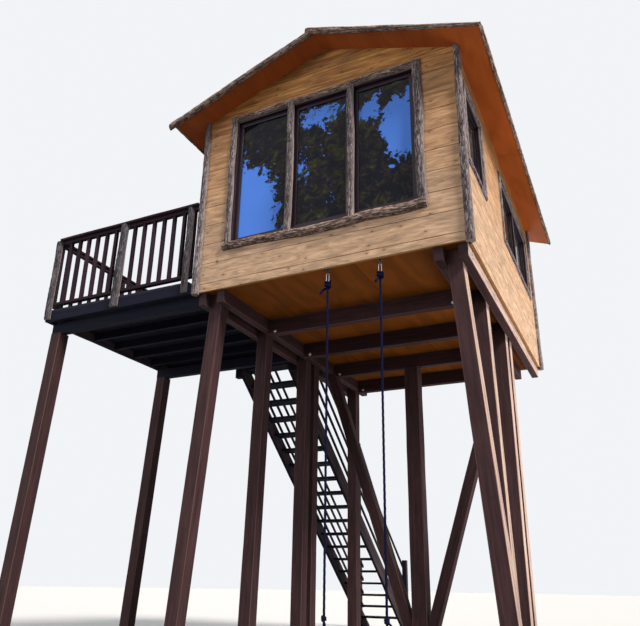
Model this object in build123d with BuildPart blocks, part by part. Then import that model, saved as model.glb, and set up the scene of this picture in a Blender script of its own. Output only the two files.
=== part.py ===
from build123d import *
import math
import os

os.makedirs("parts", exist_ok=True)

# Cabin body, heights counted from the ground
cabin_width = 3230
cabin_length = 4500
cladding_foot = 3950
eave_height = 2400
wall_thickness = 100
cladding_thickness = 25
roof_pitch = 20.5

# Roof
side_overhang = 320
front_overhang = 290
back_overhang = 380
roof_thickness = 55
covering_thickness = 12
covering_lip = 15
covering_gap = 6
ridge_cap_width = 240
ridge_cap_thickness = 14
barge_log_radius = 44
barge_log_tail = 85
barge_log_gap = 3
eave_log_radius = 36
eave_log_drop = 15

# Platform under the cabin
ply_thickness = 18
ply_lift = 8
floor_thickness = 124
side_beam_width = 95
side_beam_depth = 158
side_beam_inset = 30
side_beam_end = 30
post_size = 155
cross_beam_width = 90
cross_beam_depth = 205
front_cross_beams = [1130, 2130]
back_cross_beams = [1345, 390]

# Posts, struts and mast
front_post_place = 140
front_post_splay = 300
second_post_place = 1220
second_post_splay = 80
middle_post_places = [2350, 2620]
back_post_inset = 300
back_right_shift = 250
mast_size = 200
strut_size = 140
strut_foot_height = 100

# Corner logs
corner_log_radius = 52
corner_log_shift = 8
corner_log_drop = 22
log_clearance = 2

# Front window
front_window_width = 2330
front_window_shift = 33
front_window_sill = 565
front_window_height = 1745
front_lining = 30
front_mullion = 60
mullion_spread = 776
sash_width = 48
sash_depth = 45
sash_setback = 40
glass_thickness = 12
jamb_log_radius = 43
sill_log_radius = 60
head_log_radius = 42
sill_log_horn = 6
sill_log_lap = 10
lining_log_lap = 12

# Side and back windows
small_window_place = 610
small_window_width = 800
small_window_count = 1
large_window_inset = 1350
large_window_width = 2020
large_window_count = 2
back_window_width = 1400
side_window_sill = 1075
side_window_height = 965
side_lining = 45
side_mullion = 50
side_trim_radius = 34

# Door to the deck
door_place = 1870
door_width = 850
door_height = 1960
door_frame_width = 50
door_thickness = 42
door_clearance = 4
door_setback = 20
handle_height = 1020
handle_radius = 9
handle_length = 120
handle_reach = 55
handle_inset = 60
handle_rise = 40
handle_overrun = 12
handle_plate_width = 40
handle_plate_height = 200
handle_plate_thickness = 8
handle_lever_depth = 22

# Deck
deck_width = 2420
deck_length = 2600
deck_rim_foot = 20
deck_rim_depth = 130
deck_rim_thickness = 45
deck_joist_count = 5
deck_joist_depth = 110
deck_board_width = 118
deck_board_gap = 6
deck_board_thickness = 28
deck_front_beam = 150
deck_back_beam = 270
deck_beam_width = 90
deck_beam_depth = 150
deck_post_inset = 150
deck_post_splay = 220

# Railing
rail_log_radius = 55
rail_log_foot = 45
front_log_places = [171, 1214]
front_log_leans = [16, 42, 11]
handrail_height = 1228
handrail_width = 140
handrail_thickness = 32
handrail_nosing = 5
handrail_setback = 10
rail_width = 60
rail_thickness = 40
lower_rail_lift = 62
baluster_size = 42
baluster_pitch = 153

# Stair
stair_width = 880
stair_wall_gap = 120
riser_count = 20
tread_going = 265
tread_depth = 260
tread_thickness = 38
stringer_depth = 230
stringer_thickness = 48
newel_size = 90
newel_height = 1000
stringer_drop = 30
slope_rail_count = 4
slope_rail_height = 38
slope_rail_thickness = 30
slope_rail_drop = 60

# Swing
swing_offset = 355
swing_spread = 600
swing_place = 75
eye_plate_radius = 26
eye_plate_thickness = 6
eye_shank_radius = 6
eye_ring_radius = 17
eye_wire_radius = 5
eye_neck = 12
hook_wire_radius = 4.5
hook_bow_radius = 16
hook_straight = 62
hook_play = 0.6
rope_radius = 12.5
knot_radius = 30
neck_knot_radius = 22.5
knot_height = 74
stopper_height = 52
knot_grip = 3
rope_length = 3370
seat_length = 760
seat_width = 210
seat_thickness = 36
seat_hole_clearance = 1.5
lower_knot_lift = 70

# Places that follow from the sizes
half_width = cabin_width / 2
slope = math.tan(math.radians(roof_pitch))
cosine = math.cos(math.radians(roof_pitch))
roof_right = half_width + side_overhang + eave_log_radius
deck_left = half_width + deck_width - deck_post_inset + deck_post_splay + post_size / 2
center_x = (deck_left - roof_right) / 2
deck_floor = cladding_foot + deck_rim_foot + deck_rim_depth + deck_board_thickness
riser = deck_floor / riser_count
stair_slope = riser / tread_going
stair_run = tread_going * (riser_count - 1)
stringer_top = deck_floor - stringer_drop
stair_end = deck_length + stringer_top / stair_slope
span_front = -front_overhang - barge_log_radius
front_y = -(span_front + stair_end) / 2
back_y = front_y + cabin_length
large_window_place = cabin_length - large_window_inset
cross_beam_places = front_cross_beams + [cabin_length - place for place in back_cross_beams]
deck_beam_places = [deck_front_beam, deck_length - deck_back_beam]
foot_z = cladding_foot
eave_z = foot_z + eave_height
ridge_z = eave_z + half_width * slope
ply_foot = foot_z + ply_lift
ply_top = ply_foot + ply_thickness
floor_top = ply_top + floor_thickness
inner_half = half_width - wall_thickness
right_face = center_x + half_width
left_face = center_x - half_width
roof_half = half_width + side_overhang
roof_front_y = front_y - front_overhang
roof_back_y = back_y + back_overhang
roof_middle_y = (roof_front_y + roof_back_y) / 2
roof_length = roof_back_y - roof_front_y
outer_beam = half_width - side_beam_inset - side_beam_width / 2
post_line = outer_beam - side_beam_width / 2 - post_size / 2
inner_beam = post_line - post_size / 2 - side_beam_width / 2
beam_foot = ply_foot - side_beam_depth
cross_beam_half = inner_beam - side_beam_width / 2


def front_plane(y):
    return Plane(origin=(0, y, 0), x_dir=(1, 0, 0), z_dir=(0, -1, 0))


def side_plane(x):
    return Plane(origin=(x, 0, 0), x_dir=(0, 1, 0), z_dir=(1, 0, 0))


gable_outline = [
    (left_face, ply_top),
    (right_face, ply_top),
    (right_face, eave_z),
    (center_x, ridge_z),
    (left_face, eave_z),
]
above_soffit = [
    (center_x - 2 * roof_half, ridge_z - 2 * roof_half * slope),
    (center_x, ridge_z),
    (center_x + 2 * roof_half, ridge_z - 2 * roof_half * slope),
    (center_x + 2 * roof_half, ridge_z + roof_half),
    (center_x - 2 * roof_half, ridge_z + roof_half),
]
skirt_height = ply_top - foot_z
front_window_x = center_x - front_window_shift
front_window_middle = foot_z + front_window_sill + front_window_height / 2
side_window_middle = foot_z + side_window_sill + side_window_height / 2
skirt_z = foot_z + skirt_height / 2

# Front wall with its gable and the wide window opening
with BuildPart() as front_wall:
    with BuildSketch(front_plane(front_y + wall_thickness)):
        with BuildLine():
            Polyline(*gable_outline, close=True)
        make_face()
        with Locations((front_window_x, front_window_middle)):
            Rectangle(front_window_width, front_window_height, mode=Mode.SUBTRACT)
    extrude(amount=wall_thickness)
    with Locations((center_x, front_y + cladding_thickness / 2, skirt_z)):
        Box(cabin_width, cladding_thickness, skirt_height)
front_wall.part.label = "front_wall"
export_step(front_wall.part, "parts/front_wall.step")

# Back wall with its gable and a two-light window opening
with BuildPart() as back_wall:
    with BuildSketch(front_plane(back_y)):
        with BuildLine():
            Polyline(*gable_outline, close=True)
        make_face()
        with Locations((center_x, side_window_middle)):
            Rectangle(back_window_width, side_window_height, mode=Mode.SUBTRACT)
    extrude(amount=wall_thickness)
    with Locations((center_x, back_y - cladding_thickness / 2, skirt_z)):
        Box(cabin_width, cladding_thickness, skirt_height)
back_wall.part.label = "back_wall"
export_step(back_wall.part, "parts/back_wall.step")

# Side walls stand between the gable walls and stop under the roof
side_wall_middle = (front_y + back_y) / 2
side_wall_length = cabin_length - 2 * wall_thickness
side_wall_height = eave_z - ply_top

with BuildPart() as right_wall:
    with BuildSketch(side_plane(right_face - wall_thickness)):
        with Locations((side_wall_middle, ply_top + side_wall_height / 2)):
            Rectangle(side_wall_length, side_wall_height)
        with Locations((front_y + small_window_place, side_window_middle)):
            Rectangle(small_window_width, side_window_height, mode=Mode.SUBTRACT)
        with Locations((front_y + large_window_place, side_window_middle)):
            Rectangle(large_window_width, side_window_height, mode=Mode.SUBTRACT)
    extrude(amount=wall_thickness)
    with Locations((right_face - cladding_thickness / 2, side_wall_middle, skirt_z)):
        Box(cladding_thickness, side_wall_length, skirt_height)
right_wall.part.label = "right_wall"
export_step(right_wall.part, "parts/right_wall.step")

door_opening_width = door_width + 2 * door_clearance + 2 * door_frame_width
door_opening_top = floor_top + door_height + 2 * door_clearance + door_frame_width

with BuildPart() as left_wall:
    with BuildSketch(side_plane(left_face)):
        with Locations((side_wall_middle, ply_top + side_wall_height / 2)):
            Rectangle(side_wall_length, side_wall_height)
        with Locations((front_y + small_window_place, side_window_middle)):
            Rectangle(small_window_width, side_window_height, mode=Mode.SUBTRACT)
        with Locations((front_y + door_place, (floor_top + door_opening_top) / 2)):
            Rectangle(door_opening_width, door_opening_top - floor_top, mode=Mode.SUBTRACT)
    extrude(amount=wall_thickness)
    with Locations((left_face + cladding_thickness / 2, side_wall_middle, skirt_z)):
        Box(cladding_thickness, side_wall_length, skirt_height)
left_wall.part.label = "left_wall"
export_step(left_wall.part, "parts/left_wall.step")

# Plywood under the floor and the floor between the walls
with BuildPart() as underfloor_ply:
    with Locations((center_x, side_wall_middle, ply_foot + ply_thickness / 2)):
        Box(
            cabin_width - 2 * cladding_thickness,
            cabin_length - 2 * cladding_thickness,
            ply_thickness,
        )
underfloor_ply.part.label = "underfloor_ply"
export_step(underfloor_ply.part, "parts/underfloor_ply.step")

with BuildPart() as cabin_floor:
    with Locations((center_x, side_wall_middle, ply_top + floor_thickness / 2)):
        Box(2 * inner_half, side_wall_length, floor_thickness)
cabin_floor.part.label = "cabin_floor"
export_step(cabin_floor.part, "parts/cabin_floor.step")

# Roof slopes, each with plumb-cut eaves, meeting at the ridge
roof_rise = roof_thickness / cosine
covering_rise = covering_thickness / cosine
roof_tip_z = ridge_z - roof_half * slope

with BuildPart() as right_roof_slope:
    with BuildSketch(front_plane(roof_back_y)):
        with BuildLine():
            Polyline(
                (center_x, ridge_z),
                (center_x + roof_half, roof_tip_z),
                (center_x + roof_half, roof_tip_z + roof_rise),
                (center_x, ridge_z + roof_rise),
                close=True,
            )
        make_face()
    extrude(amount=roof_length)
right_roof_slope.part.label = "right_roof_slope"
export_step(right_roof_slope.part, "parts/right_roof_slope.step")

with BuildPart() as left_roof_slope:
    with BuildSketch(front_plane(roof_back_y)):
        with BuildLine():
            Polyline(
                (center_x, ridge_z),
                (center_x - roof_half, roof_tip_z),
                (center_x - roof_half, roof_tip_z + roof_rise),
                (center_x, ridge_z + roof_rise),
                close=True,
            )
        make_face()
    extrude(amount=roof_length)
left_roof_slope.part.label = "left_roof_slope"
export_step(left_roof_slope.part, "parts/left_roof_slope.step")

# Covering sheets with a dripping lip at the eaves, closed by the ridge cap
lip_z = roof_tip_z + roof_rise - covering_lip * slope

with BuildPart() as roof_covering:
    with BuildSketch(front_plane(roof_back_y)):
        for side in (1, -1):
            with BuildLine():
                Polyline(
                    (center_x + side * covering_gap, ridge_z + roof_rise - covering_gap * slope),
                    (center_x + side * (roof_half + covering_lip), lip_z),
                    (center_x + side * (roof_half + covering_lip), lip_z + covering_rise),
                    (
                        center_x + side * covering_gap,
                        ridge_z + roof_rise + covering_rise - covering_gap * slope,
                    ),
                    close=True,
                )
            make_face()
    extrude(amount=roof_length)
roof_covering.part.label = "roof_covering"
export_step(roof_covering.part, "parts/roof_covering.step")

cap_half = ridge_cap_width / 2
cap_z = ridge_z + roof_rise + covering_rise
cap_rise = ridge_cap_thickness / cosine

with BuildPart() as ridge_cap:
    with BuildSketch(front_plane(roof_back_y)):
        with BuildLine():
            Polyline(
                (center_x, cap_z),
                (center_x + cap_half, cap_z - cap_half * slope),
                (center_x + cap_half, cap_z - cap_half * slope + cap_rise),
                (center_x, cap_z + cap_rise),
                (center_x - cap_half, cap_z - cap_half * slope + cap_rise),
                (center_x - cap_half, cap_z - cap_half * slope),
                close=True,
            )
        make_face()
    extrude(amount=roof_length)
ridge_cap.part.label = "ridge_cap"
export_step(ridge_cap.part, "parts/ridge_cap.step")

# Half logs along all four edges of the roof, those of the gables plumb-cut at the peak
# and running past the left eave
barge_length = roof_half / cosine
barge_mid_z = ridge_z + roof_rise / 2 - roof_half / 2 * slope
eave_log_z = roof_tip_z + roof_rise / 2 - eave_log_drop

with BuildPart() as barge_logs:
    for edge_y in (roof_front_y, roof_back_y):
        for side in (1, -1):
            with Locations(
                Location(
                    (center_x + side * roof_half / 2, edge_y, barge_mid_z),
                    (0, 90 + side * roof_pitch, 0),
                )
            ):
                Cylinder(barge_log_radius, barge_length + 2 * (barge_log_tail + barge_log_radius))
    with Locations((center_x, roof_middle_y, ridge_z)):
        Box(barge_log_gap, 2 * roof_length, 4 * roof_half, mode=Mode.SUBTRACT)
    with Locations((center_x, roof_middle_y, ridge_z)):
        Box(4 * roof_half, roof_length, 4 * roof_half, mode=Mode.SUBTRACT)
    for side, tail in ((1, 0), (-1, barge_log_tail)):
        with Locations((center_x + side * (2 * roof_half + tail), roof_middle_y, ridge_z)):
            Box(2 * roof_half, 2 * roof_length, 4 * roof_half, mode=Mode.SUBTRACT)
    with BuildSketch(front_plane(roof_back_y - barge_log_gap)):
        with Locations(
            (center_x - roof_half, eave_log_z),
            (center_x + roof_half, eave_log_z),
        ):
            Circle(eave_log_radius)
        with Locations((center_x, eave_log_z)):
            Rectangle(2 * roof_half, 4 * eave_log_radius, mode=Mode.SUBTRACT)
    extrude(amount=roof_length - 2 * barge_log_gap)
barge_logs.part.label = "barge_logs"
export_step(barge_logs.part, "parts/barge_logs.step")

# Three-quarter logs rebated over the wall corners and scribed to the soffit
corner_log_length = eave_height + 2 * corner_log_drop

with BuildPart() as corner_logs:
    for side in (1, -1):
        for wall_y, outward in ((front_y, -1), (back_y, 1)):
            with Locations(
                (
                    center_x + side * (half_width + corner_log_shift),
                    wall_y + outward * corner_log_shift,
                    foot_z - corner_log_drop,
                )
            ):
                Cylinder(
                    corner_log_radius,
                    corner_log_length,
                    align=(Align.CENTER, Align.CENTER, Align.MIN),
                )
    with Locations((center_x, side_wall_middle, foot_z)):
        Box(cabin_width, cabin_length, 4 * eave_height, mode=Mode.SUBTRACT)
    with BuildSketch(front_plane(roof_back_y)):
        with BuildLine():
            Polyline(*above_soffit, close=True)
        make_face()
    extrude(amount=roof_length, mode=Mode.SUBTRACT)
corner_logs.part.label = "corner_logs"
export_step(corner_logs.part, "parts/corner_logs.step")

# Front window lining with two mullion posts and a set-back sash around each light
light_width = (front_window_width - 2 * front_lining - 2 * front_mullion) / 3
light_height = front_window_height - 2 * front_lining
light_places = [-(light_width + front_mullion), 0, light_width + front_mullion]
pane_width = light_width - 2 * sash_width
pane_height = light_height - 2 * sash_width
sash_middle_y = front_y + sash_setback + sash_depth / 2

with BuildPart() as front_window_frame:
    with Locations((front_window_x, front_y + wall_thickness / 2, front_window_middle)):
        Box(front_window_width, wall_thickness, front_window_height)
    with Locations((front_window_x, front_y + wall_thickness / 2, front_window_middle)):
        with Locations(*[(place, 0, 0) for place in light_places]):
            Box(light_width, wall_thickness, light_height, mode=Mode.SUBTRACT)
    with Locations((front_window_x, sash_middle_y, front_window_middle)):
        with Locations(*[(place, 0, 0) for place in light_places]):
            Box(light_width, sash_depth, light_height)
            Box(pane_width, sash_depth, pane_height, mode=Mode.SUBTRACT)
front_window_frame.part.label = "front_window_frame"
export_step(front_window_frame.part, "parts/front_window_frame.step")

with BuildPart() as front_window_glass:
    with Locations((front_window_x, sash_middle_y, front_window_middle)):
        with Locations(*[(place, 0, 0) for place in light_places]):
            Box(pane_width, glass_thickness, pane_height)
front_window_glass.part.label = "front_window_glass"
export_step(front_window_glass.part, "parts/front_window_glass.step")

# Bark logs round the front window: sill and head first, uprights scribed over them
sill_z = foot_z + front_window_sill - sill_log_radius + sill_log_lap
head_z = foot_z + front_window_sill + front_window_height + head_log_radius - lining_log_lap
jamb_half = front_window_width / 2 + jamb_log_radius - lining_log_lap
upright_places = [-jamb_half, -mullion_spread / 2, mullion_spread / 2, jamb_half]
sill_log_length = 2 * (jamb_half + jamb_log_radius + sill_log_horn)
head_log_length = 2 * (jamb_half + jamb_log_radius)

with BuildPart() as front_window_cross_logs:
    with Locations(Location((front_window_x, front_y, sill_z), (0, 90, 0))):
        Cylinder(sill_log_radius, sill_log_length)
    with Locations(Location((front_window_x, front_y, head_z), (0, 90, 0))):
        Cylinder(head_log_radius, head_log_length)
    with Locations((center_x, front_y + cabin_length / 2, front_window_middle)):
        Box(cabin_width, cabin_length, 2 * eave_height, mode=Mode.SUBTRACT)
front_window_cross_logs.part.label = "front_window_cross_logs"
export_step(front_window_cross_logs.part, "parts/front_window_cross_logs.step")

with BuildPart() as front_window_upright_logs:
    with Locations((front_window_x, front_y, (sill_z + head_z) / 2)):
        with Locations(*[(place, 0, 0) for place in upright_places]):
            Cylinder(jamb_log_radius, head_z - sill_z)
    with Locations((center_x, front_y + cabin_length / 2, front_window_middle)):
        Box(cabin_width, cabin_length, 2 * eave_height, mode=Mode.SUBTRACT)
    with Locations(Location((front_window_x, front_y, sill_z), (0, 90, 0))):
        Cylinder(sill_log_radius, sill_log_length, mode=Mode.SUBTRACT)
    with Locations(Location((front_window_x, front_y, head_z), (0, 90, 0))):
        Cylinder(head_log_radius, head_log_length + 2 * log_clearance, mode=Mode.SUBTRACT)
front_window_upright_logs.part.label = "front_window_upright_logs"
export_step(front_window_upright_logs.part, "parts/front_window_upright_logs.step")

# Side and back windows: place along the wall, width, count of lights
small_window = (small_window_place, small_window_width, small_window_count)
large_window = (large_window_place, large_window_width, large_window_count)
right_middle = right_face - wall_thickness / 2
left_middle = left_face + wall_thickness / 2
side_light_height = side_window_height - 2 * side_lining

with BuildPart() as side_window_frames:
    for face_x, windows in ((right_middle, [small_window, large_window]), (left_middle, [small_window])):
        for place, width, lights in windows:
            with Locations((face_x, front_y + place, side_window_middle)):
                Box(wall_thickness, width, side_window_height)
                light = (width - 2 * side_lining - (lights - 1) * side_mullion) / lights
                with GridLocations(1, light + side_mullion, 1, lights):
                    Box(wall_thickness, light, side_light_height, mode=Mode.SUBTRACT)
    with Locations((center_x, back_y - wall_thickness / 2, side_window_middle)):
        Box(back_window_width, wall_thickness, side_window_height)
        light = (back_window_width - 2 * side_lining - side_mullion) / 2
        with GridLocations(light + side_mullion, 1, 2, 1):
            Box(light, wall_thickness, side_light_height, mode=Mode.SUBTRACT)
side_window_frames.part.label = "side_window_frames"
export_step(side_window_frames.part, "parts/side_window_frames.step")

with BuildPart() as side_window_glass:
    for face_x, windows in ((right_middle, [small_window, large_window]), (left_middle, [small_window])):
        for place, width, lights in windows:
            light = (width - 2 * side_lining - (lights - 1) * side_mullion) / lights
            with Locations((face_x, front_y + place, side_window_middle)):
                with GridLocations(1, light + side_mullion, 1, lights):
                    Box(glass_thickness, light, side_light_height)
    with Locations((center_x, back_y - wall_thickness / 2, side_window_middle)):
        light = (back_window_width - 2 * side_lining - side_mullion) / 2
        with GridLocations(light + side_mullion, 1, 2, 1):
            Box(light, glass_thickness, side_light_height)
side_window_glass.part.label = "side_window_glass"
export_step(side_window_glass.part, "parts/side_window_glass.step")

# Half-log surrounds of the side and back windows and of the door
trim_height = side_window_height + side_trim_radius

with BuildPart() as side_window_logs:
    for face_x, windows in ((right_face, [small_window, large_window]), (left_face, [small_window])):
        for place, width, lights in windows:
            with Locations((face_x, front_y + place, side_window_middle)):
                with GridLocations(1, width + side_trim_radius, 1, 2):
                    Cylinder(side_trim_radius, trim_height)
                for end in (1, -1):
                    with Locations(Location((0, 0, end * trim_height / 2), (90, 0, 0))):
                        Cylinder(side_trim_radius, width + 3 * side_trim_radius)
    with Locations((center_x, back_y, side_window_middle)):
        with GridLocations(back_window_width + side_trim_radius, 1, 2, 1):
            Cylinder(side_trim_radius, trim_height)
        for end in (1, -1):
            with Locations(Location((0, 0, end * trim_height / 2), (0, 90, 0))):
                Cylinder(side_trim_radius, back_window_width + 3 * side_trim_radius)
    with Locations((center_x, side_wall_middle, side_window_middle)):
        Box(cabin_width, cabin_length, 2 * eave_height, mode=Mode.SUBTRACT)
side_window_logs.part.label = "side_window_logs"
export_step(side_window_logs.part, "parts/side_window_logs.step")

# Door frame, leaf and lever handle
door_frame_height = door_opening_top - floor_top
door_y = front_y + door_place
leaf_x = left_face + door_thickness + door_setback

with BuildPart() as door_frame:
    with BuildSketch(side_plane(left_face)):
        with Locations((door_y, floor_top + door_frame_height / 2)):
            Rectangle(door_opening_width, door_frame_height)
        with Locations((door_y, floor_top + (door_frame_height - door_frame_width) / 2)):
            Rectangle(
                door_opening_width - 2 * door_frame_width,
                door_frame_height - door_frame_width,
                mode=Mode.SUBTRACT,
            )
    extrude(amount=wall_thickness)
    with Locations((leaf_x, door_y, floor_top + door_clearance / 2)):
        Box(door_thickness, door_opening_width - 2 * door_frame_width, door_clearance)
door_frame.part.label = "door_frame"
export_step(door_frame.part, "parts/door_frame.step")

leaf_z = floor_top + door_clearance + door_height / 2

with BuildPart() as door_leaf:
    with Locations((leaf_x, door_y, leaf_z)):
        Box(door_thickness, door_width, door_height)
        with Locations((0, 0, door_height / 4)):
            Box(door_thickness, door_width / 2, door_height / 3, mode=Mode.SUBTRACT)
            Box(glass_thickness, door_width / 2, door_height / 3)
door_leaf.part.label = "door_leaf"
export_step(door_leaf.part, "parts/door_leaf.step")

handle_y = door_y + door_width / 2 - handle_inset

with BuildPart() as door_handle:
    with Locations((leaf_x - door_thickness / 2, handle_y, floor_top + handle_height)):
        with Locations((-handle_plate_thickness / 2, 0, 0)):
            Box(handle_plate_thickness, handle_plate_width, handle_plate_height)
        with Locations(Location((-handle_reach / 2, 0, handle_rise), (0, 90, 0))):
            Cylinder(handle_radius, handle_reach)
        with Locations((handle_radius - handle_reach, handle_overrun - handle_length / 2, handle_rise)):
            Box(handle_radius, handle_length, handle_lever_depth)
door_handle.part.label = "door_handle"
export_step(door_handle.part, "parts/door_handle.step")

# Twin side beams and the cross beams between them
beam_lines = [outer_beam, inner_beam, -inner_beam, -outer_beam]

with BuildPart() as side_beams:
    with Locations((center_x, side_wall_middle, beam_foot + side_beam_depth / 2)):
        with Locations(*[(line, 0, 0) for line in beam_lines]):
            Box(side_beam_width, cabin_length - 2 * side_beam_end, side_beam_depth)
side_beams.part.label = "side_beams"
export_step(side_beams.part, "parts/side_beams.step")

with BuildPart() as cross_beams:
    for place in cross_beam_places:
        with Locations((center_x, front_y + place, ply_foot - cross_beam_depth / 2)):
            Box(2 * cross_beam_half, cross_beam_width, cross_beam_depth)
cross_beams.part.label = "cross_beams"
export_step(cross_beams.part, "parts/cross_beams.step")

# Splayed posts housed between the twin beams at the front and the second row
with BuildPart() as splayed_posts:
    for post_y, splay in (
        (front_y + front_post_place, front_post_splay),
        (front_y + second_post_place, second_post_splay),
    ):
        with BuildSketch(front_plane(post_y + post_size)):
            for side in (1, -1):
                top = center_x + side * post_line
                foot = top + side * splay
                with BuildLine():
                    Polyline(
                        (foot - post_size / 2, 0),
                        (foot + post_size / 2, 0),
                        (top + post_size / 2, ply_foot),
                        (top - post_size / 2, ply_foot),
                        close=True,
                    )
                make_face()
        extrude(amount=post_size)
    with Locations((center_x, side_wall_middle, beam_foot + side_beam_depth / 2)):
        with Locations(*[(line, 0, 0) for line in beam_lines]):
            Box(side_beam_width, cabin_length, side_beam_depth, mode=Mode.SUBTRACT)
splayed_posts.part.label = "splayed_posts"
export_step(splayed_posts.part, "parts/splayed_posts.step")

# Upright posts in pairs at the middle and singly at the back, the right one under the cross beam
back_post_y = front_y + cabin_length - back_post_inset + post_size / 2
back_right_x = center_x + post_line - back_right_shift
back_right_top = ply_foot - cross_beam_depth

with BuildPart() as upright_posts:
    for place in middle_post_places:
        with Locations((center_x, front_y + place + post_size / 2, ply_foot / 2)):
            with Locations((post_line, 0, 0), (-post_line, 0, 0)):
                Box(post_size, post_size, ply_foot)
    with Locations((center_x - post_line, back_post_y, ply_foot / 2)):
        Box(post_size, post_size, ply_foot)
    with Locations((back_right_x, front_y + cross_beam_places[-1], back_right_top / 2)):
        Box(post_size, post_size, back_right_top)
upright_posts.part.label = "upright_posts"
export_step(upright_posts.part, "parts/upright_posts.step")

# Mast under the third cross beam with a strut to each inner beam
mast_y = front_y + cross_beam_places[2]
mast_top = ply_foot - cross_beam_depth
strut_top = inner_beam
strut_foot = mast_size / 2
strut_lean = math.atan2(strut_top - strut_foot, beam_foot - strut_foot_height)
strut_half = strut_size / 2 / math.cos(strut_lean)

with BuildPart() as mast:
    with Locations((center_x, mast_y, mast_top / 2)):
        Box(mast_size, mast_size, mast_top)
mast.part.label = "mast"
export_step(mast.part, "parts/mast.step")

with BuildPart() as struts:
    with BuildSketch(front_plane(mast_y + strut_size / 2)):
        for side in (1, -1):
            with BuildLine():
                Polyline(
                    (center_x + side * (strut_foot - strut_half), strut_foot_height),
                    (center_x + side * (strut_foot + strut_half), strut_foot_height),
                    (center_x + side * (strut_top + strut_half), beam_foot),
                    (center_x + side * (strut_top - strut_half), beam_foot),
                    close=True,
                )
            make_face()
        with Locations((center_x, mast_top / 2)):
            Rectangle(mast_size, mast_top, mode=Mode.SUBTRACT)
    extrude(amount=strut_size)
    with Locations((center_x, mast_y, ply_foot - cross_beam_depth / 2)):
        Box(2 * cross_beam_half, cross_beam_width, cross_beam_depth, mode=Mode.SUBTRACT)
struts.part.label = "struts"
export_step(struts.part, "parts/struts.step")

# Deck frame beside the cabin, its front edge flush with the front wall
deck_out_x = left_face - deck_width
deck_mid_x = left_face - deck_width / 2
deck_mid_y = front_y + deck_length / 2
rim_foot = foot_z + deck_rim_foot
rim_top = rim_foot + deck_rim_depth
joist_span = deck_length - 2 * deck_rim_thickness

with BuildPart() as deck_rim:
    with Locations((deck_mid_x, deck_mid_y, rim_foot + deck_rim_depth / 2)):
        Box(deck_width, deck_length, deck_rim_depth)
        Box(
            deck_width - 2 * deck_rim_thickness,
            joist_span,
            deck_rim_depth,
            mode=Mode.SUBTRACT,
        )
    with Locations((left_face - corner_log_shift, front_y - corner_log_shift, rim_foot)):
        Cylinder(corner_log_radius + log_clearance, 4 * deck_rim_depth, mode=Mode.SUBTRACT)
deck_rim.part.label = "deck_rim"
export_step(deck_rim.part, "parts/deck_rim.step")

with BuildPart() as deck_joists:
    with Locations((deck_mid_x, deck_mid_y, rim_top - deck_joist_depth / 2)):
        with GridLocations(1, joist_span / (deck_joist_count + 1), 1, deck_joist_count):
            Box(deck_width - 2 * deck_rim_thickness, deck_rim_thickness, deck_joist_depth)
deck_joists.part.label = "deck_joists"
export_step(deck_joists.part, "parts/deck_joists.step")

deck_board_count = int((deck_width + deck_board_gap) / (deck_board_width + deck_board_gap))
board_pitch = (deck_width + deck_board_gap) / deck_board_count

with BuildPart() as deck_boards:
    with Locations((deck_mid_x, deck_mid_y, rim_top + deck_board_thickness / 2)):
        with GridLocations(board_pitch, 1, deck_board_count, 1):
            Box(board_pitch - deck_board_gap, deck_length, deck_board_thickness)
    with Locations((left_face - corner_log_shift, front_y - corner_log_shift, rim_foot)):
        Cylinder(corner_log_radius + log_clearance, 4 * deck_rim_depth, mode=Mode.SUBTRACT)
deck_boards.part.label = "deck_boards"
export_step(deck_boards.part, "parts/deck_boards.step")

# Deck beams run in under the cladding to the outer side beam
deck_beam_inner = center_x - outer_beam - side_beam_width / 2
deck_beam_length = deck_beam_inner - deck_out_x - deck_rim_thickness
deck_beam_x = deck_beam_inner - deck_beam_length / 2
deck_beam_foot = rim_foot - deck_beam_depth

with BuildPart() as deck_beams:
    for place in deck_beam_places:
        with Locations((deck_beam_x, front_y + place, rim_foot - deck_beam_depth / 2)):
            Box(deck_beam_length, deck_beam_width, deck_beam_depth)
    with Locations((center_x, side_wall_middle, foot_z + deck_rim_depth / 2)):
        Box(cabin_width, cabin_length, deck_rim_depth, mode=Mode.SUBTRACT)
deck_beams.part.label = "deck_beams"
export_step(deck_beams.part, "parts/deck_beams.step")

with BuildPart() as deck_posts:
    for place in deck_beam_places:
        with BuildSketch(front_plane(front_y + place + post_size / 2)):
            top = deck_out_x + deck_post_inset
            foot = top - deck_post_splay
            with BuildLine():
                Polyline(
                    (foot - post_size / 2, 0),
                    (foot + post_size / 2, 0),
                    (top + post_size / 2, deck_beam_foot),
                    (top - post_size / 2, deck_beam_foot),
                    close=True,
                )
            make_face()
        extrude(amount=post_size)
deck_posts.part.label = "deck_posts"
export_step(deck_posts.part, "parts/deck_posts.step")

# Railing: half-log posts on the rim, two rails, balusters and a flat handrail
handrail_top = foot_z + handrail_height
handrail_foot = handrail_top - handrail_thickness
stair_right = left_face - stair_wall_gap
stair_left = stair_right - stair_width
rail_line_x = deck_out_x + rail_width / 2
rail_line_y = front_y + rail_width / 2
rail_back_y = front_y + deck_length - rail_width / 2
rail_right = left_face - corner_log_radius - corner_log_shift
end_log_place = deck_width - rail_log_radius
log_height = handrail_foot - foot_z - rail_log_foot
log_z = foot_z + rail_log_foot + log_height / 2

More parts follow.
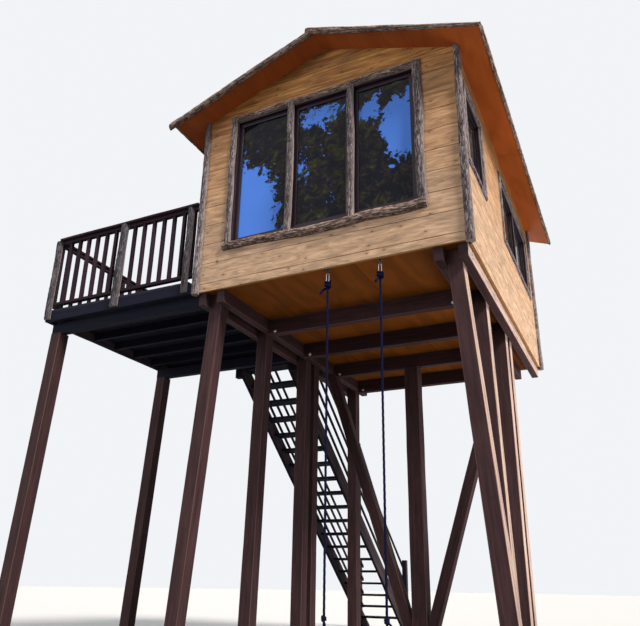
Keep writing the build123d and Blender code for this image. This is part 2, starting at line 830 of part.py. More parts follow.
with BuildPart() as railing_logs:
    for place, lean in zip(front_log_places + [end_log_place], front_log_leans):
        log_turn = math.degrees(math.atan2(lean, log_height))
        log_x = left_face - place - lean / 2
        with Locations(Location((log_x, front_y, log_z), (0, log_turn, 0))):
            Cylinder(rail_log_radius, log_height + 2 * rail_log_radius)
    with Locations((deck_mid_x, deck_mid_y, log_z)):
        Box(2 * deck_width, deck_length, 2 * log_height, mode=Mode.SUBTRACT)
    for side in (1, -1):
        with Locations((deck_mid_x, deck_mid_y, log_z + side * log_height)):
            Box(2 * deck_width, 2 * deck_length, log_height, mode=Mode.SUBTRACT)
    with Locations((deck_out_x, deck_mid_y, log_z)):
        Cylinder(rail_log_radius, log_height)
    with Locations((deck_out_x + rail_log_radius, front_y + deck_length, log_z)):
        Cylinder(rail_log_radius, log_height)
    with Locations((deck_mid_x, deck_mid_y, log_z)):
        Box(deck_width, deck_length, 2 * log_height, mode=Mode.SUBTRACT)
railing_logs.part.label = "railing_logs"
export_step(railing_logs.part, "parts/railing_logs.step")

# Centre lines of the three railing runs: middle x, middle y, length, turn
front_run = rail_right - deck_out_x
side_run = rail_back_y - rail_line_y
back_run = stair_left - deck_out_x
lower_rail_z = rim_top + deck_board_thickness + lower_rail_lift + rail_thickness / 2
upper_rail_z = handrail_foot - rail_thickness / 2
baluster_length = upper_rail_z - lower_rail_z - rail_thickness
baluster_z = (upper_rail_z + lower_rail_z) / 2

with BuildPart() as railing_rails:
    for rail_z in (lower_rail_z, upper_rail_z):
        with Locations((rail_right - front_run / 2, rail_line_y, rail_z)):
            Box(front_run, rail_width, rail_thickness)
        with Locations((rail_line_x, (rail_line_y + rail_back_y) / 2, rail_z)):
            Box(rail_width, side_run, rail_thickness)
        with Locations((stair_left - back_run / 2, rail_back_y, rail_z)):
            Box(back_run, rail_width, rail_thickness)
railing_rails.part.label = "railing_rails"
export_step(railing_rails.part, "parts/railing_rails.step")

front_balusters = int(front_run / baluster_pitch)
side_balusters = int(side_run / baluster_pitch)
back_balusters = int(back_run / baluster_pitch)

with BuildPart() as balusters:
    with Locations((rail_right - front_run / 2, rail_line_y, baluster_z)):
        with GridLocations(front_run / front_balusters, 1, front_balusters, 1):
            Box(baluster_size, baluster_size, baluster_length)
    with Locations((rail_line_x, (rail_line_y + rail_back_y) / 2, baluster_z)):
        with GridLocations(1, side_run / side_balusters, 1, side_balusters - 1):
            Box(baluster_size, baluster_size, baluster_length)
    with Locations((stair_left - back_run / 2, rail_back_y, baluster_z)):
        with GridLocations(back_run / back_balusters, 1, back_balusters, 1):
            Box(baluster_size, baluster_size, baluster_length)
balusters.part.label = "balusters"
export_step(balusters.part, "parts/balusters.step")

handrail_left = deck_out_x - rail_log_radius - handrail_nosing
handrail_front = front_y - rail_log_radius + handrail_setback
handrail_back = front_y + deck_length + rail_log_radius

with BuildPart() as handrail:
    with BuildSketch(Plane.XY.offset(handrail_foot)):
        with BuildLine():
            Polyline(
                (rail_right, handrail_front),
                (handrail_left, handrail_front),
                (handrail_left, handrail_back),
                (stair_left, handrail_back),
                (stair_left, handrail_back - handrail_width),
                (handrail_left + handrail_width, handrail_back - handrail_width),
                (handrail_left + handrail_width, handrail_front + handrail_width),
                (rail_right, handrail_front + handrail_width),
                close=True,
            )
        make_face()
    extrude(amount=handrail_thickness)
handrail.part.label = "handrail"
export_step(handrail.part, "parts/handrail.step")

# Stair from the back edge of the deck to the ground
stair_start_y = front_y + deck_length
stair_angle = math.degrees(math.atan2(riser, tread_going))
stringer_rise = stringer_depth / math.cos(math.radians(stair_angle))
stair_mid_x = (stair_left + stair_right) / 2

with BuildPart() as stair_stringers:
    for side in (1, -1):
        x = stair_mid_x + side * (stair_width - stringer_thickness) / 2
        with BuildSketch(side_plane(x - stringer_thickness / 2)):
            with BuildLine():
                Polyline(
                    (stair_start_y, stringer_top),
                    (stair_start_y + stringer_top / stair_slope, 0),
                    (stair_start_y + (stringer_top - stringer_rise) / stair_slope, 0),
                    (stair_start_y, stringer_top - stringer_rise),
                    close=True,
                )
            make_face()
        extrude(amount=stringer_thickness)
stair_stringers.part.label = "stair_stringers"
export_step(stair_stringers.part, "parts/stair_stringers.step")

with BuildPart() as stair_treads:
    for n in range(1, riser_count):
        tread_top = deck_floor - n * riser
        tread_y = stair_start_y + (n - 0.5) * tread_going
        with Locations((stair_mid_x, tread_y, tread_top - tread_thickness / 2)):
            Box(stair_width - 2 * stringer_thickness, tread_depth, tread_thickness)
stair_treads.part.label = "stair_treads"
export_step(stair_treads.part, "parts/stair_treads.step")

# Newel posts beside the stringers with rails that follow the slope
newel_places = [newel_size / 2, stair_run / 2, stair_run - newel_size]

with BuildPart() as stair_newels:
    for side in (1, -1):
        x = stair_mid_x + side * (stair_width + newel_size) / 2
        for place in newel_places:
            line_z = stringer_top - place * stair_slope
            foot = max(0, line_z - stringer_rise)
            top = line_z + newel_height if place > newel_size else handrail_foot
            with Locations((x, stair_start_y + place, (foot + top) / 2)):
                Box(newel_size, newel_size, top - foot)
stair_newels.part.label = "stair_newels"
export_step(stair_newels.part, "parts/stair_newels.step")

rail_start = newel_places[0] - newel_size / 2
rail_end = newel_places[-1] + newel_size / 2
rail_lift = newel_height / slope_rail_count
slope_rail_rise = slope_rail_height / math.cos(math.radians(stair_angle))

with BuildPart() as stair_rails:
    for side in (1, -1):
        x = stair_mid_x + side * (stair_width / 2 - slope_rail_thickness / 2)
        with BuildSketch(side_plane(x - slope_rail_thickness / 2)):
            for n in range(1, slope_rail_count + 1):
                lift = stringer_top + n * rail_lift - slope_rail_drop
                start_z = lift - rail_start * stair_slope
                end_z = lift - rail_end * stair_slope
                with BuildLine():
                    Polyline(
                        (stair_start_y + rail_start, start_z),
                        (stair_start_y + rail_end, end_z),
                        (stair_start_y + rail_end, end_z - slope_rail_rise),
                        (stair_start_y + rail_start, start_z - slope_rail_rise),
                        close=True,
                    )
                make_face()
        extrude(amount=slope_rail_thickness)
stair_rails.part.label = "stair_rails"
export_step(stair_rails.part, "parts/stair_rails.step")

# Swing: eye bolts in the plywood, oval hooks, ropes with knots and a plank seat
swing_y = front_y + swing_place
swing_x = center_x + swing_offset
eye_z = ply_foot - eye_plate_thickness - eye_neck - eye_ring_radius
hook_z = eye_z - (eye_ring_radius - eye_wire_radius) + hook_wire_radius + hook_play
hook_low_z = hook_z - 2 * hook_bow_radius - hook_straight
rope_places = [swing_x - swing_spread / 2, swing_x + swing_spread / 2]
eye_shank_length = eye_neck + eye_wire_radius

with BuildPart() as swing_eyes:
    for x in rope_places:
        with Locations((x, swing_y, ply_foot - eye_plate_thickness / 2)):
            Cylinder(eye_plate_radius, eye_plate_thickness)
        with Locations((x, swing_y, ply_foot - eye_plate_thickness - eye_shank_length / 2)):
            Cylinder(eye_shank_radius, eye_shank_length)
        with Locations(Location((x, swing_y, eye_z), (0, 90, 0))):
            Torus(eye_ring_radius, eye_wire_radius)
swing_eyes.part.label = "swing_eyes"
export_step(swing_eyes.part, "parts/swing_eyes.step")

with BuildPart() as swing_hooks:
    for x in rope_places:
        with BuildLine():
            top_left = (x - hook_bow_radius, swing_y, hook_z - hook_bow_radius)
            top_right = (x + hook_bow_radius, swing_y, hook_z - hook_bow_radius)
            low_right = (x + hook_bow_radius, swing_y, hook_low_z + hook_bow_radius)
            low_left = (x - hook_bow_radius, swing_y, hook_low_z + hook_bow_radius)
            ThreePointArc(top_left, (x, swing_y, hook_z), top_right)
            Line(top_right, low_right)
            ThreePointArc(low_right, (x, swing_y, hook_low_z), low_left)
            Line(low_left, top_left)
        with BuildSketch(Plane(origin=top_left, z_dir=(0, 0, 1))):
            Circle(hook_wire_radius)
        sweep()
swing_hooks.part.label = "swing_hooks"
export_step(swing_hooks.part, "parts/swing_hooks.step")

knot_z = hook_low_z - knot_height / 2 + hook_wire_radius + knot_grip
seat_top = knot_z - rope_length
stopper_foot = seat_top - seat_thickness - stopper_height

with BuildPart() as swing_ropes:
    for x in rope_places:
        with Locations((x, swing_y, (knot_z + stopper_foot) / 2)):
            Cylinder(rope_radius, knot_z - stopper_foot)
        with Locations((x, swing_y, knot_z)):
            Cylinder(neck_knot_radius, knot_height)
        with Locations((x, swing_y, seat_top + lower_knot_lift)):
            Sphere(knot_radius)
        with Locations((x, swing_y, stopper_foot + stopper_height / 2)):
            Cylinder(knot_radius, stopper_height)
swing_ropes.part.label = "swing_ropes"
export_step(swing_ropes.part, "parts/swing_ropes.step")

with BuildPart() as swing_seat:
    with Locations((swing_x, swing_y, seat_top - seat_thickness / 2)):
        Box(seat_length, seat_width, seat_thickness)
    with Locations(*[(x, swing_y, seat_top - seat_thickness / 2) for x in rope_places]):
        Cylinder(rope_radius + seat_hole_clearance, seat_thickness, mode=Mode.SUBTRACT)
swing_seat.part.label = "swing_seat"
export_step(swing_seat.part, "parts/swing_seat.step")

print("middle", center_x, "front", front_y, "riser", round(riser, 1), "stair angle", round(stair_angle, 1))
print("rope places", rope_places, "hook axis", hook_z, "seat top", seat_top)
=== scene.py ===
"""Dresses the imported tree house: boards, bark logs, stained timber, glass, shingles and rope, with its stage.

The file is laid out as an add-on and run as a script. Lengths are in metres. A place is written from the cabin's
front right lower corner: x to the right of the right wall, y back from the front wall, z up from the cladding's foot.
"""

import bmesh
import bpy
import numpy as np
from mathutils import Matrix, Vector


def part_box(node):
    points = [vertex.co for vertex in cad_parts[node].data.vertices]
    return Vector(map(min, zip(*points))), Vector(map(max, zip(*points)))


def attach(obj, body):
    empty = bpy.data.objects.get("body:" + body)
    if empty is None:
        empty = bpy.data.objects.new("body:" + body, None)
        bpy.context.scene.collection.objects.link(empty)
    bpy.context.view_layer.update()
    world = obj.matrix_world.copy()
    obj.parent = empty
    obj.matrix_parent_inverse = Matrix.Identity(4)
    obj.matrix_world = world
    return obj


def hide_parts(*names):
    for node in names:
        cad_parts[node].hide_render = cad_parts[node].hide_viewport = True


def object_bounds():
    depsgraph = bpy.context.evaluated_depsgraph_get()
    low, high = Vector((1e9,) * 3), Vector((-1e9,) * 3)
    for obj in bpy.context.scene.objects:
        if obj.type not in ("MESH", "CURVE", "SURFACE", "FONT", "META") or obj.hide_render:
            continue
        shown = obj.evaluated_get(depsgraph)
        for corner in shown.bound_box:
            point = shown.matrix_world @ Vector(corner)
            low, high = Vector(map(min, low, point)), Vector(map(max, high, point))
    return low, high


bl_info = {
    "name": "Tree House Dresser",
    "version": (1, 0, 0),
    "blender": (4, 5, 0),
    "location": "View3D > Sidebar > Tree House",
    "description": "Boards, bark logs, stained timber, glass, shingles and rope for the packed tree house",
    "category": "Object",
}

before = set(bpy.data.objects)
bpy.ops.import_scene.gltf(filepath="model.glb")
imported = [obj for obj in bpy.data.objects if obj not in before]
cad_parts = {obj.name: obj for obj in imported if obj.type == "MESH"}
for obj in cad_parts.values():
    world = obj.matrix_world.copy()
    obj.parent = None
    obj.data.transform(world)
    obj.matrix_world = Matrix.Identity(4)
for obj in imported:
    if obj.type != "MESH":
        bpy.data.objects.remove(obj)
CAD_BOX = [[float(c) for c in corner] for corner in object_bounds()]
HOUSE, SWING = "tree_house", "swing"
X, Y, Z = np.eye(3)


def box_of(name):
    """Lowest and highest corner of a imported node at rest, as the two rows of an array."""
    return np.array([list(corner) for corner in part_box(name)], float)


FRONT_WALL, BACK_WALL = box_of("front_wall"), box_of("back_wall")
ORIGIN = np.array([FRONT_WALL[1, 0], FRONT_WALL[0, 1], FRONT_WALL[0, 2]])
WIDTH = float(FRONT_WALL[1, 0] - FRONT_WALL[0, 0])
LENGTH = float(BACK_WALL[1, 1] - FRONT_WALL[0, 1])
# The side that painted sunlight falls on, near the key lamp's: stained timber and bark turn paler on the faces that
# look to it.
SUNWARD = np.array([0.96, -0.12, 0.25])
MARKS = ("tone", "edge", "height", "sun")


def at(x, y, z):
    """A place written from the cabin's front right lower corner, in the shared frame."""
    return ORIGIN + np.array([x, y, z])


# Each small window and back window: the wall's corner, run and outward direction, from, to, and the number of lights
WINDOWS = (
    (at(0, 0, 0), Y, X, 0.210, 1.010, 1),
    (at(0, 0, 0), Y, X, 2.140, 4.160, 2),
    (at(-WIDTH, 0, 0), Y, -X, 0.210, 1.010, 1),
    (at(0, LENGTH, 0), -X, Y, 0.915, 2.315, 2),
)
WINDOW_FOOT, WINDOW_HEAD = 1.075, 2.040
# The door's opening in the left wall: from, to, foot and head
DOOR_OPENING = (1.391, 2.349, 0.150, 2.168)
POST = 0.155
SIDE_BEAM, CROSS_BEAM = 0.095, 0.090
CROSS_BEAM_PLACES = (1.130, 2.130, LENGTH - 1.345, LENGTH - 0.390)
# Middles of the post rows from the front wall; the splayed ones with how far they lean out at their foot
SPLAYED_ROWS = ((0.140 + POST / 2, 0.300), (1.220 + POST / 2, 0.080))
UPRIGHT_ROWS = (2.350 + POST / 2, 2.620 + POST / 2)
BACK_ROW = LENGTH - 0.300 + POST / 2
JOINERY_ARRIS = 0.003
DECK_THICK, DECK_NOTCH = 0.045, 0.062
STAIR_WIDTH, STAIR_WALL_GAP = 0.880, 0.120


def linear(code):
    """Turns an sRGB hex colour into linear red, green and blue."""
    part = np.array([int(code[i : i + 2], 16) / 255 for i in (1, 3, 5)])
    return tuple(float(c) for c in np.where(part <= 0.04045, part / 12.92, ((part + 0.055) / 1.055) ** 2.4))


def unit(vector):
    """The vector at length one."""
    vector = np.asarray(vector, float)
    return vector / np.linalg.norm(vector)


def spans(start, stop, size):
    """Pairs of ends that walk from start to stop in whole sizes and one rest."""
    sign, ends = (1.0 if stop > start else -1.0), [start]
    while (stop - ends[-1]) * sign > 0:
        step = ends[-1] + sign * size
        ends.append(step if (stop - step) * sign > 0 else stop)
    return list(zip(ends[:-1], ends[1:]))


# Shapes: grids of points gathered into one mesh


def noise(u, v, seed):
    """Value noise: random heights on a lattice of 256 by 256, blended by 3t^2 - 2t^3 of each fraction."""
    size = 256
    lattice = np.random.default_rng(seed).random((size, size))
    iu, iv = np.floor(u).astype(int), np.floor(v).astype(int)
    fu, fv = u - iu, v - iv
    fu, fv = fu * fu * (3 - 2 * fu), fv * fv * (3 - 2 * fv)
    low = lattice[iu % size, iv % size] * (1 - fu) + lattice[(iu + 1) % size, iv % size] * fu
    high = lattice[iu % size, (iv + 1) % size] * (1 - fu) + lattice[(iu + 1) % size, (iv + 1) % size] * fu
    return low * (1 - fv) + high * fv


class Shape:
    """One piece: gathers grids and end faces, with a UV in metres and four numbers a corner, and is built at the end
    of its with block. Keys are its finishes, and stands_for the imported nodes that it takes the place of."""

    def __init__(self, name, keys, slot, *stands_for, body=HOUSE, angle=40.0):
        self.name, self.keys, self.slot, self.stands_for = name, keys, slot, stands_for
        self.body, self.angle = body, angle
        self.points, self.marks, self.faces, self.uvs, self.kinds = [], [], [], [], []
        self.count = 0

    def __enter__(self):
        return self

    def __exit__(self, kind, error, trace):
        if kind is None:
            self.build()

    def grid(self, points, uv, tone=0.5, edge=0.0, height=0.0, kind=0, sun=0.0):
        """Adds a grid of n rings by m points, whose last column is joined to the first; uv has m + 1 columns."""
        n, m = points.shape[:2]
        marks = np.stack([np.broadcast_to(np.asarray(a, float), (n, m)) for a in (tone, edge, height, sun)], axis=-1)
        i, j = np.meshgrid(np.arange(n - 1), np.arange(m), indexing="ij")
        k = (j + 1) % m
        corners = np.stack([i * m + j, i * m + k, (i + 1) * m + k, (i + 1) * m + j], axis=-1).reshape(-1, 4)
        self.points.append(points.reshape(-1, 3))
        self.faces += (corners + self.count).tolist()
        self.uvs.append(np.stack([uv[i, j], uv[i, j + 1], uv[i + 1, j + 1], uv[i + 1, j]], axis=2).reshape(-1, 2))
        self.marks.append(np.stack([marks[i, j], marks[i, k], marks[i + 1, k], marks[i + 1, j]], axis=2).reshape(-1, 4))
        self.kinds.append(np.broadcast_to(np.asarray(kind), (n - 1, m)).reshape(-1))
        self.count += n * m

    def lid(self, points, uv, tone=0.5, edge=0.0, height=0.0, kind=0, reverse=False, sun=0.0):
        """Closes a ring of m points with a fan of triangles about their mean."""
        m = len(points)
        here = np.arange(m)
        turn = here[::-1] if reverse else here
        ring_uv = uv[turn]
        middle = np.broadcast_to(uv.mean(axis=0), ring_uv.shape)
        self.points.append(np.vstack([points[turn], points.mean(axis=0)]))
        self.faces += (np.stack([np.full(m, m), here, (here + 1) % m], axis=-1) + self.count).tolist()
        self.uvs.append(np.stack([middle, ring_uv, np.roll(ring_uv, -1, axis=0)], axis=1).reshape(-1, 2))
        self.marks.append(np.tile([tone, edge, height, sun], (3 * m, 1)))
        self.kinds.append(np.full(m, kind))
        self.count += m + 1

    def build(self):
        """Makes the mesh object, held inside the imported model's box, merges doubles, gives it its materials and hands
        it to the frame."""
        mesh = bpy.data.meshes.new(self.name)
        mesh.from_pydata(np.clip(np.concatenate(self.points), *CAD_BOX).tolist(), [], self.faces)
        layer = mesh.uv_layers.new(name="grain")
        layer.uv.foreach_set("vector", np.concatenate(self.uvs).astype(np.float32).ravel())
        marks = np.concatenate(self.marks).astype(np.float32)
        for column, title in enumerate(MARKS):
            values = np.ascontiguousarray(marks[:, column])
            mesh.attributes.new(title, "FLOAT", "CORNER").data.foreach_set("value", values)
        mesh.polygons.foreach_set("material_index", np.concatenate(self.kinds).astype(np.int32))
        work = bmesh.new()
        work.from_mesh(mesh)
        bmesh.ops.remove_doubles(work, verts=work.verts, dist=1e-6)
        work.to_mesh(mesh)
        work.free()
        mesh.shade_smooth()
        mesh.set_sharp_from_angle(angle=np.radians(self.angle))
        for key in self.keys.split():
            mesh.materials.append(finish(key))
        piece = bpy.data.objects.new(self.name, mesh)
        bpy.context.scene.collection.objects.link(piece)
        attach(piece, self.body)
        if self.stands_for:
            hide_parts(*self.stands_for)


def slid(line, length, offset, cuts, part):
    """How far each point of the section lies along the line at each part of it. The ends are cut by planes: a point
    slides along the line by -(offset . normal) / (line . normal)."""
    normals = [line if cut is None else unit(cut) for cut in cuts]
    slide = [-(offset @ n) / (line @ n) for n in normals]
    return slide[0] * (1 - part) + (length + slide[1]) * part


def beam(shape, start, end, side, width, depth, arris=0.004, step=0.25, cuts=(None, None), seed=0, tone=None,
         rough=0.0008, kind=0, u0=None, v0=None, worn=0.010, sun=None, wavy=0.0):
    """A sawn bar from start to end: a rectangle with worn arrises is carried along the line, its ends cut by planes.
    The faces swell by a slow noise along the bar, and wavy moves the two narrow edges by one. Sun is how far a face
    turns to SUNWARD, unless it is given; on stained timber it sets the face's painted sunlight."""
    start, end = np.asarray(start, float), np.asarray(end, float)
    line = unit(end - start)
    side = np.asarray(side, float)
    side = unit(side - side @ line * line)
    up = np.cross(line, side)
    w, d = width / 2, depth / 2
    arris = min(arris, 0.45 * min(w, d))
    inner = min(max(worn, 1.5 * arris), 0.9 * min(w, d))
    quarter = [(w, d - inner), (w, d - arris), (w - arris * 0.3, d - arris * 0.3), (w - arris, d), (w - inner, d)]
    faces = [(1, 0), (1, 0), (0.7, 0.7), (0, 1), (0, 1)]
    section, facing = [], []
    for a, b, swap in ((1, 1, False), (-1, 1, True), (-1, -1, False), (1, -1, True)):
        points, looks = ([(a * p, b * q) for p, q in pairs] for pairs in (quarter, faces))
        section += points[::-1] if swap else points
        facing += looks[::-1] if swap else looks
    section, facing = np.array(section), np.array(facing)
    # How far each end and face turns to SUNWARD, which sets its painted sunlight.
    ends = (np.clip(-line @ SUNWARD, 0, 1), np.clip(line @ SUNWARD, 0, 1)) if sun is None else (sun, sun)
    sun = np.clip(facing @ np.stack([side, up]) @ SUNWARD, 0, 1) if sun is None else sun
    edge = np.tile([0.0, 1.0, 1.0, 1.0, 0.0], 4)
    tone = float(np.random.default_rng(seed + 5).random()) if tone is None else tone
    offset = section[:, :1] * side + section[:, 1:] * up
    length = np.linalg.norm(end - start)
    rings = max(2, int(np.ceil(length / step)) + 1)
    along = slid(line, length, offset, cuts, np.linspace(0, 1, rings)[:, None])
    swell = 1 + rough * (noise(along * 3.1, np.arange(len(section)) * 0.7 + seed % 7, seed) - 0.5) / min(w, d) * 2
    points = start + along[..., None] * line + offset[None] * swell[..., None]
    if wavy:
        edge_row = (section[:, 0] > 0) * 3.0
        drift = 2 * noise(along * 2.7, edge_row + seed % 5, seed + 3) - 1
        drift += noise(along * 11.0, edge_row + seed % 7, seed + 4) - 0.5
        points = points + (wavy * drift)[..., None] * side
    around = np.diff(np.vstack([section, section[:1]]), axis=0)
    walk = np.concatenate([[0], np.cumsum(np.linalg.norm(around, axis=1))])
    u0 = float(np.random.default_rng(seed + 1).random() * 20) if u0 is None else u0
    v0 = float(np.random.default_rng(seed + 2).random() * 20) if v0 is None else v0
    u = np.concatenate([along, along[:, :1]], axis=1) + u0
    shape.grid(points, np.stack([u, np.broadcast_to(walk + v0, u.shape)], axis=-1), tone, edge, 0.0, kind, sun=sun)
    shape.lid(points[0], section + [u0, v0], tone, 0.3, 1.0, kind, reverse=True, sun=ends[0])
    shape.lid(points[-1], section + [u0, v0], tone, 0.3, 1.0, kind, sun=ends[1])


def post(shape, x, y, foot, head, size, **settings):
    """A plumb square beam."""
    beam(shape, (x, y, foot), (x, y, head), X, size, size, **settings)


def log(shape, start, end, out, radius, sawn=0.0, rebate=None, crook=0.006, seed=0, cuts=(None, None), knots=3,
        taper=0.0):
    """A bark-covered log with a flat or rebated back, lying against a wall. Out points away from the wall. The section
    is s = R sin a, o = sawn + (R - sawn) cos a over the bark, closed along the sawn sides and the back. R shrinks by
    the taper from start to end. The bark's height is a ridged noise |2n - 1| of plates 130 by 12 mm with finer ones of
    45 by 6.5 mm; the line swings by a slow noise."""
    around, step = 26, 0.009
    bark = bpy.context.scene.tree_house_bark.depth
    start, end, out = np.asarray(start, float), np.asarray(end, float), unit(out)
    line = unit(end - start)
    side = np.cross(line, out)
    length = np.linalg.norm(end - start)
    rings = max(3, int(length / step))
    if rebate is None:
        a = np.linspace(-np.pi / 2, np.pi / 2, around)
        back = np.array([[1.0, 0.0], [-1.0, 0.0]]) * radius
        base = np.stack([radius * np.sin(a), sawn + (radius - sawn) * np.cos(a)], axis=-1)
    else:
        reach = np.arccos(-(np.sqrt(radius**2 - rebate**2) + rebate) / np.sqrt(2) / radius)
        a = np.linspace(-reach, reach, int(around * 1.6))
        back = np.array([[0.0, -rebate * np.sqrt(2)]])
        base = np.stack([radius * np.sin(a), radius * np.cos(a)], axis=-1)
    count = len(a)
    t = np.linspace(0, 1, rings)[:, None]
    run, arc = t * length, a[None] * radius
    plates = noise(run / 0.13 + 3, arc / 0.012 + 40, seed) * 0.6 + noise(run / 0.045, arc / 0.0065 + 60, seed + 1) * 0.4
    ridge = np.clip(np.abs(2 * plates - 1) * 2.3, 0, 1)
    lumps = noise(run / 0.21 + 0 * arc, arc / 0.06 + 20, seed + 2)
    rng = np.random.default_rng(seed + 9)
    spots = sum(np.exp(-(((run - rng.uniform(0.05, 0.95) * length) / 0.02) ** 2)
                       - (((arc - rng.uniform(-0.8, 0.8) * radius) / 0.016) ** 2)) for _ in range(knots))
    fade = np.clip(np.minimum(t, 1 - t) * length / 0.02, 0, 1)
    size = 1 - (bark * (1 - ridge) + 0.09 * radius * (1 - lumps) - 0.004 * np.minimum(spots, 1)) / radius
    size = np.minimum(size - 0.06 * (1 - fade), 1.0)
    pinch = np.clip(np.cos(a) * 3, 0, 1)[None] if rebate is None else 1.0
    thin = (1 - taper * t)[..., None]
    bark_points = base[None] * (1 + (size - 1) * (0.35 + 0.65 * pinch))[..., None] * thin
    back_points = np.broadcast_to(back, (rings,) + back.shape) * thin
    section = np.concatenate([bark_points, back_points], axis=1)
    section[..., 0] += crook * 2 * (noise(run / 0.37, 0 * run + seed % 11, seed + 3) - 0.5)
    offset = section[..., :1] * side + section[..., 1:] * out
    along = slid(line, length, offset, cuts, t)
    points = start + along[..., None] * line + offset
    m = section.shape[1]
    walk = np.concatenate([a * radius, a[-1] * radius + 0.03 * np.arange(1, m - count + 2)])
    shift = np.random.default_rng(seed + 4).random(2) * 20
    u = np.concatenate([along, along[:, :1]], axis=1) + shift[0]
    uv = np.stack([u, np.broadcast_to(walk + shift[1], u.shape)], axis=-1)
    height = np.zeros((rings, m))
    height[:, :count] = np.clip(ridge * 0.8 + lumps * 0.25, 0, 1)
    kind = np.zeros(m, int)
    kind[count - 1 :] = 1
    tone = float(rng.random())
    look = np.concatenate([np.stack([np.sin(a), np.cos(a)], axis=-1), np.tile([0.0, -1.0], (m - count, 1))])
    # How far each face turns to SUNWARD, where the bark is painted paler as sunlit.
    sun = np.clip(look @ np.stack([side, out]) @ SUNWARD, 0, 1)
    shape.grid(points, uv, tone, 0.0, height, kind[None], sun=sun)
    shape.lid(points[0], section[0] + shift, tone, 0.0, 0.5, 1, reverse=True)
    shape.lid(points[-1], section[-1] + shift, tone, 0.0, 0.5, 1)


def turned(shape, foot, axis, profile, around=16):
    """A turned piece: each (radius, height) of the profile goes round the axis, x = r cos a, y = r sin a."""
    axis = unit(axis)
    side = unit(np.cross(axis, X if abs(axis[0]) < 0.9 else Y))
    other = np.cross(axis, side)
    a = np.linspace(0, 2 * np.pi, around, endpoint=False)
    r, h = np.array(profile, float).T
    points = (np.asarray(foot, float) + h[:, None, None] * axis
              + r[:, None, None] * (np.cos(a)[None, :, None] * side + np.sin(a)[None, :, None] * other))
    wide = np.linspace(0, 2 * np.pi, around + 1)
    shape.grid(points, np.stack(np.broadcast_arrays(h[:, None] + 0 * wide, r[:, None] * wide), axis=-1))


def strand(shape, path, radius, lay=0.07, lobes=3, around=18):
    """A laid rope along a path: r = R (0.84 + 0.16 |cos(lobes (a - turn) / 2)|), where turn grows with the length."""
    path = np.asarray(path, float)
    step = np.gradient(path, axis=0)
    tangent = step / np.linalg.norm(step, axis=1, keepdims=True)
    ref = Y if abs(tangent[:, 1]).max() < 0.8 else (X if abs(tangent[:, 0]).max() < 0.8 else Z)
    side = np.cross(tangent, ref)
    side /= np.linalg.norm(side, axis=1, keepdims=True)
    other = np.cross(tangent, side)
    run = np.concatenate([[0], np.cumsum(np.linalg.norm(np.diff(path, axis=0), axis=1))])[:, None]
    a = np.linspace(0, 2 * np.pi, around, endpoint=False)[None]
    lobe = np.abs(np.cos(lobes * (a - 2 * np.pi * run / lay / lobes) / 2))
    r = radius * (0.84 + 0.16 * lobe)
    ring = np.cos(a)[..., None] * side[:, None] + np.sin(a)[..., None] * other[:, None]
    points = path[:, None] + r[..., None] * ring
    wide = np.linspace(0, 2 * np.pi, around + 1)[None]
    shape.grid(points, np.stack(np.broadcast_arrays(run + 0 * wide, radius * wide + 0 * run), axis=-1), height=lobe)
    shape.lid(points[0], np.zeros((around, 2)), height=0.5, reverse=True)
    shape.lid(points[-1], np.zeros((around, 2)), height=0.5)


# Materials


def node(tree, kind, setting=None, link=None):
    """Adds one shader node. Setting holds attributes, input values and a ramp's stops; link holds input: source."""
    made = tree.nodes.new("ShaderNode" + kind)
    for key, value in (setting or {}).items():
        if key == "stops":
            for extra in range(len(value) - 2):
                made.color_ramp.elements.new(0.5)
            for element, (place, colour) in zip(made.color_ramp.elements, value):
                element.position = place
                element.color = (*colour, 1)
        elif isinstance(key, str) and hasattr(made, key):
            setattr(made, key, value)
        else:
            made.inputs[key].default_value = value
    for key, source in (link or {}).items():
        tree.links.new(source if isinstance(source, bpy.types.NodeSocket) else source.outputs[0], made.inputs[key])
    return made


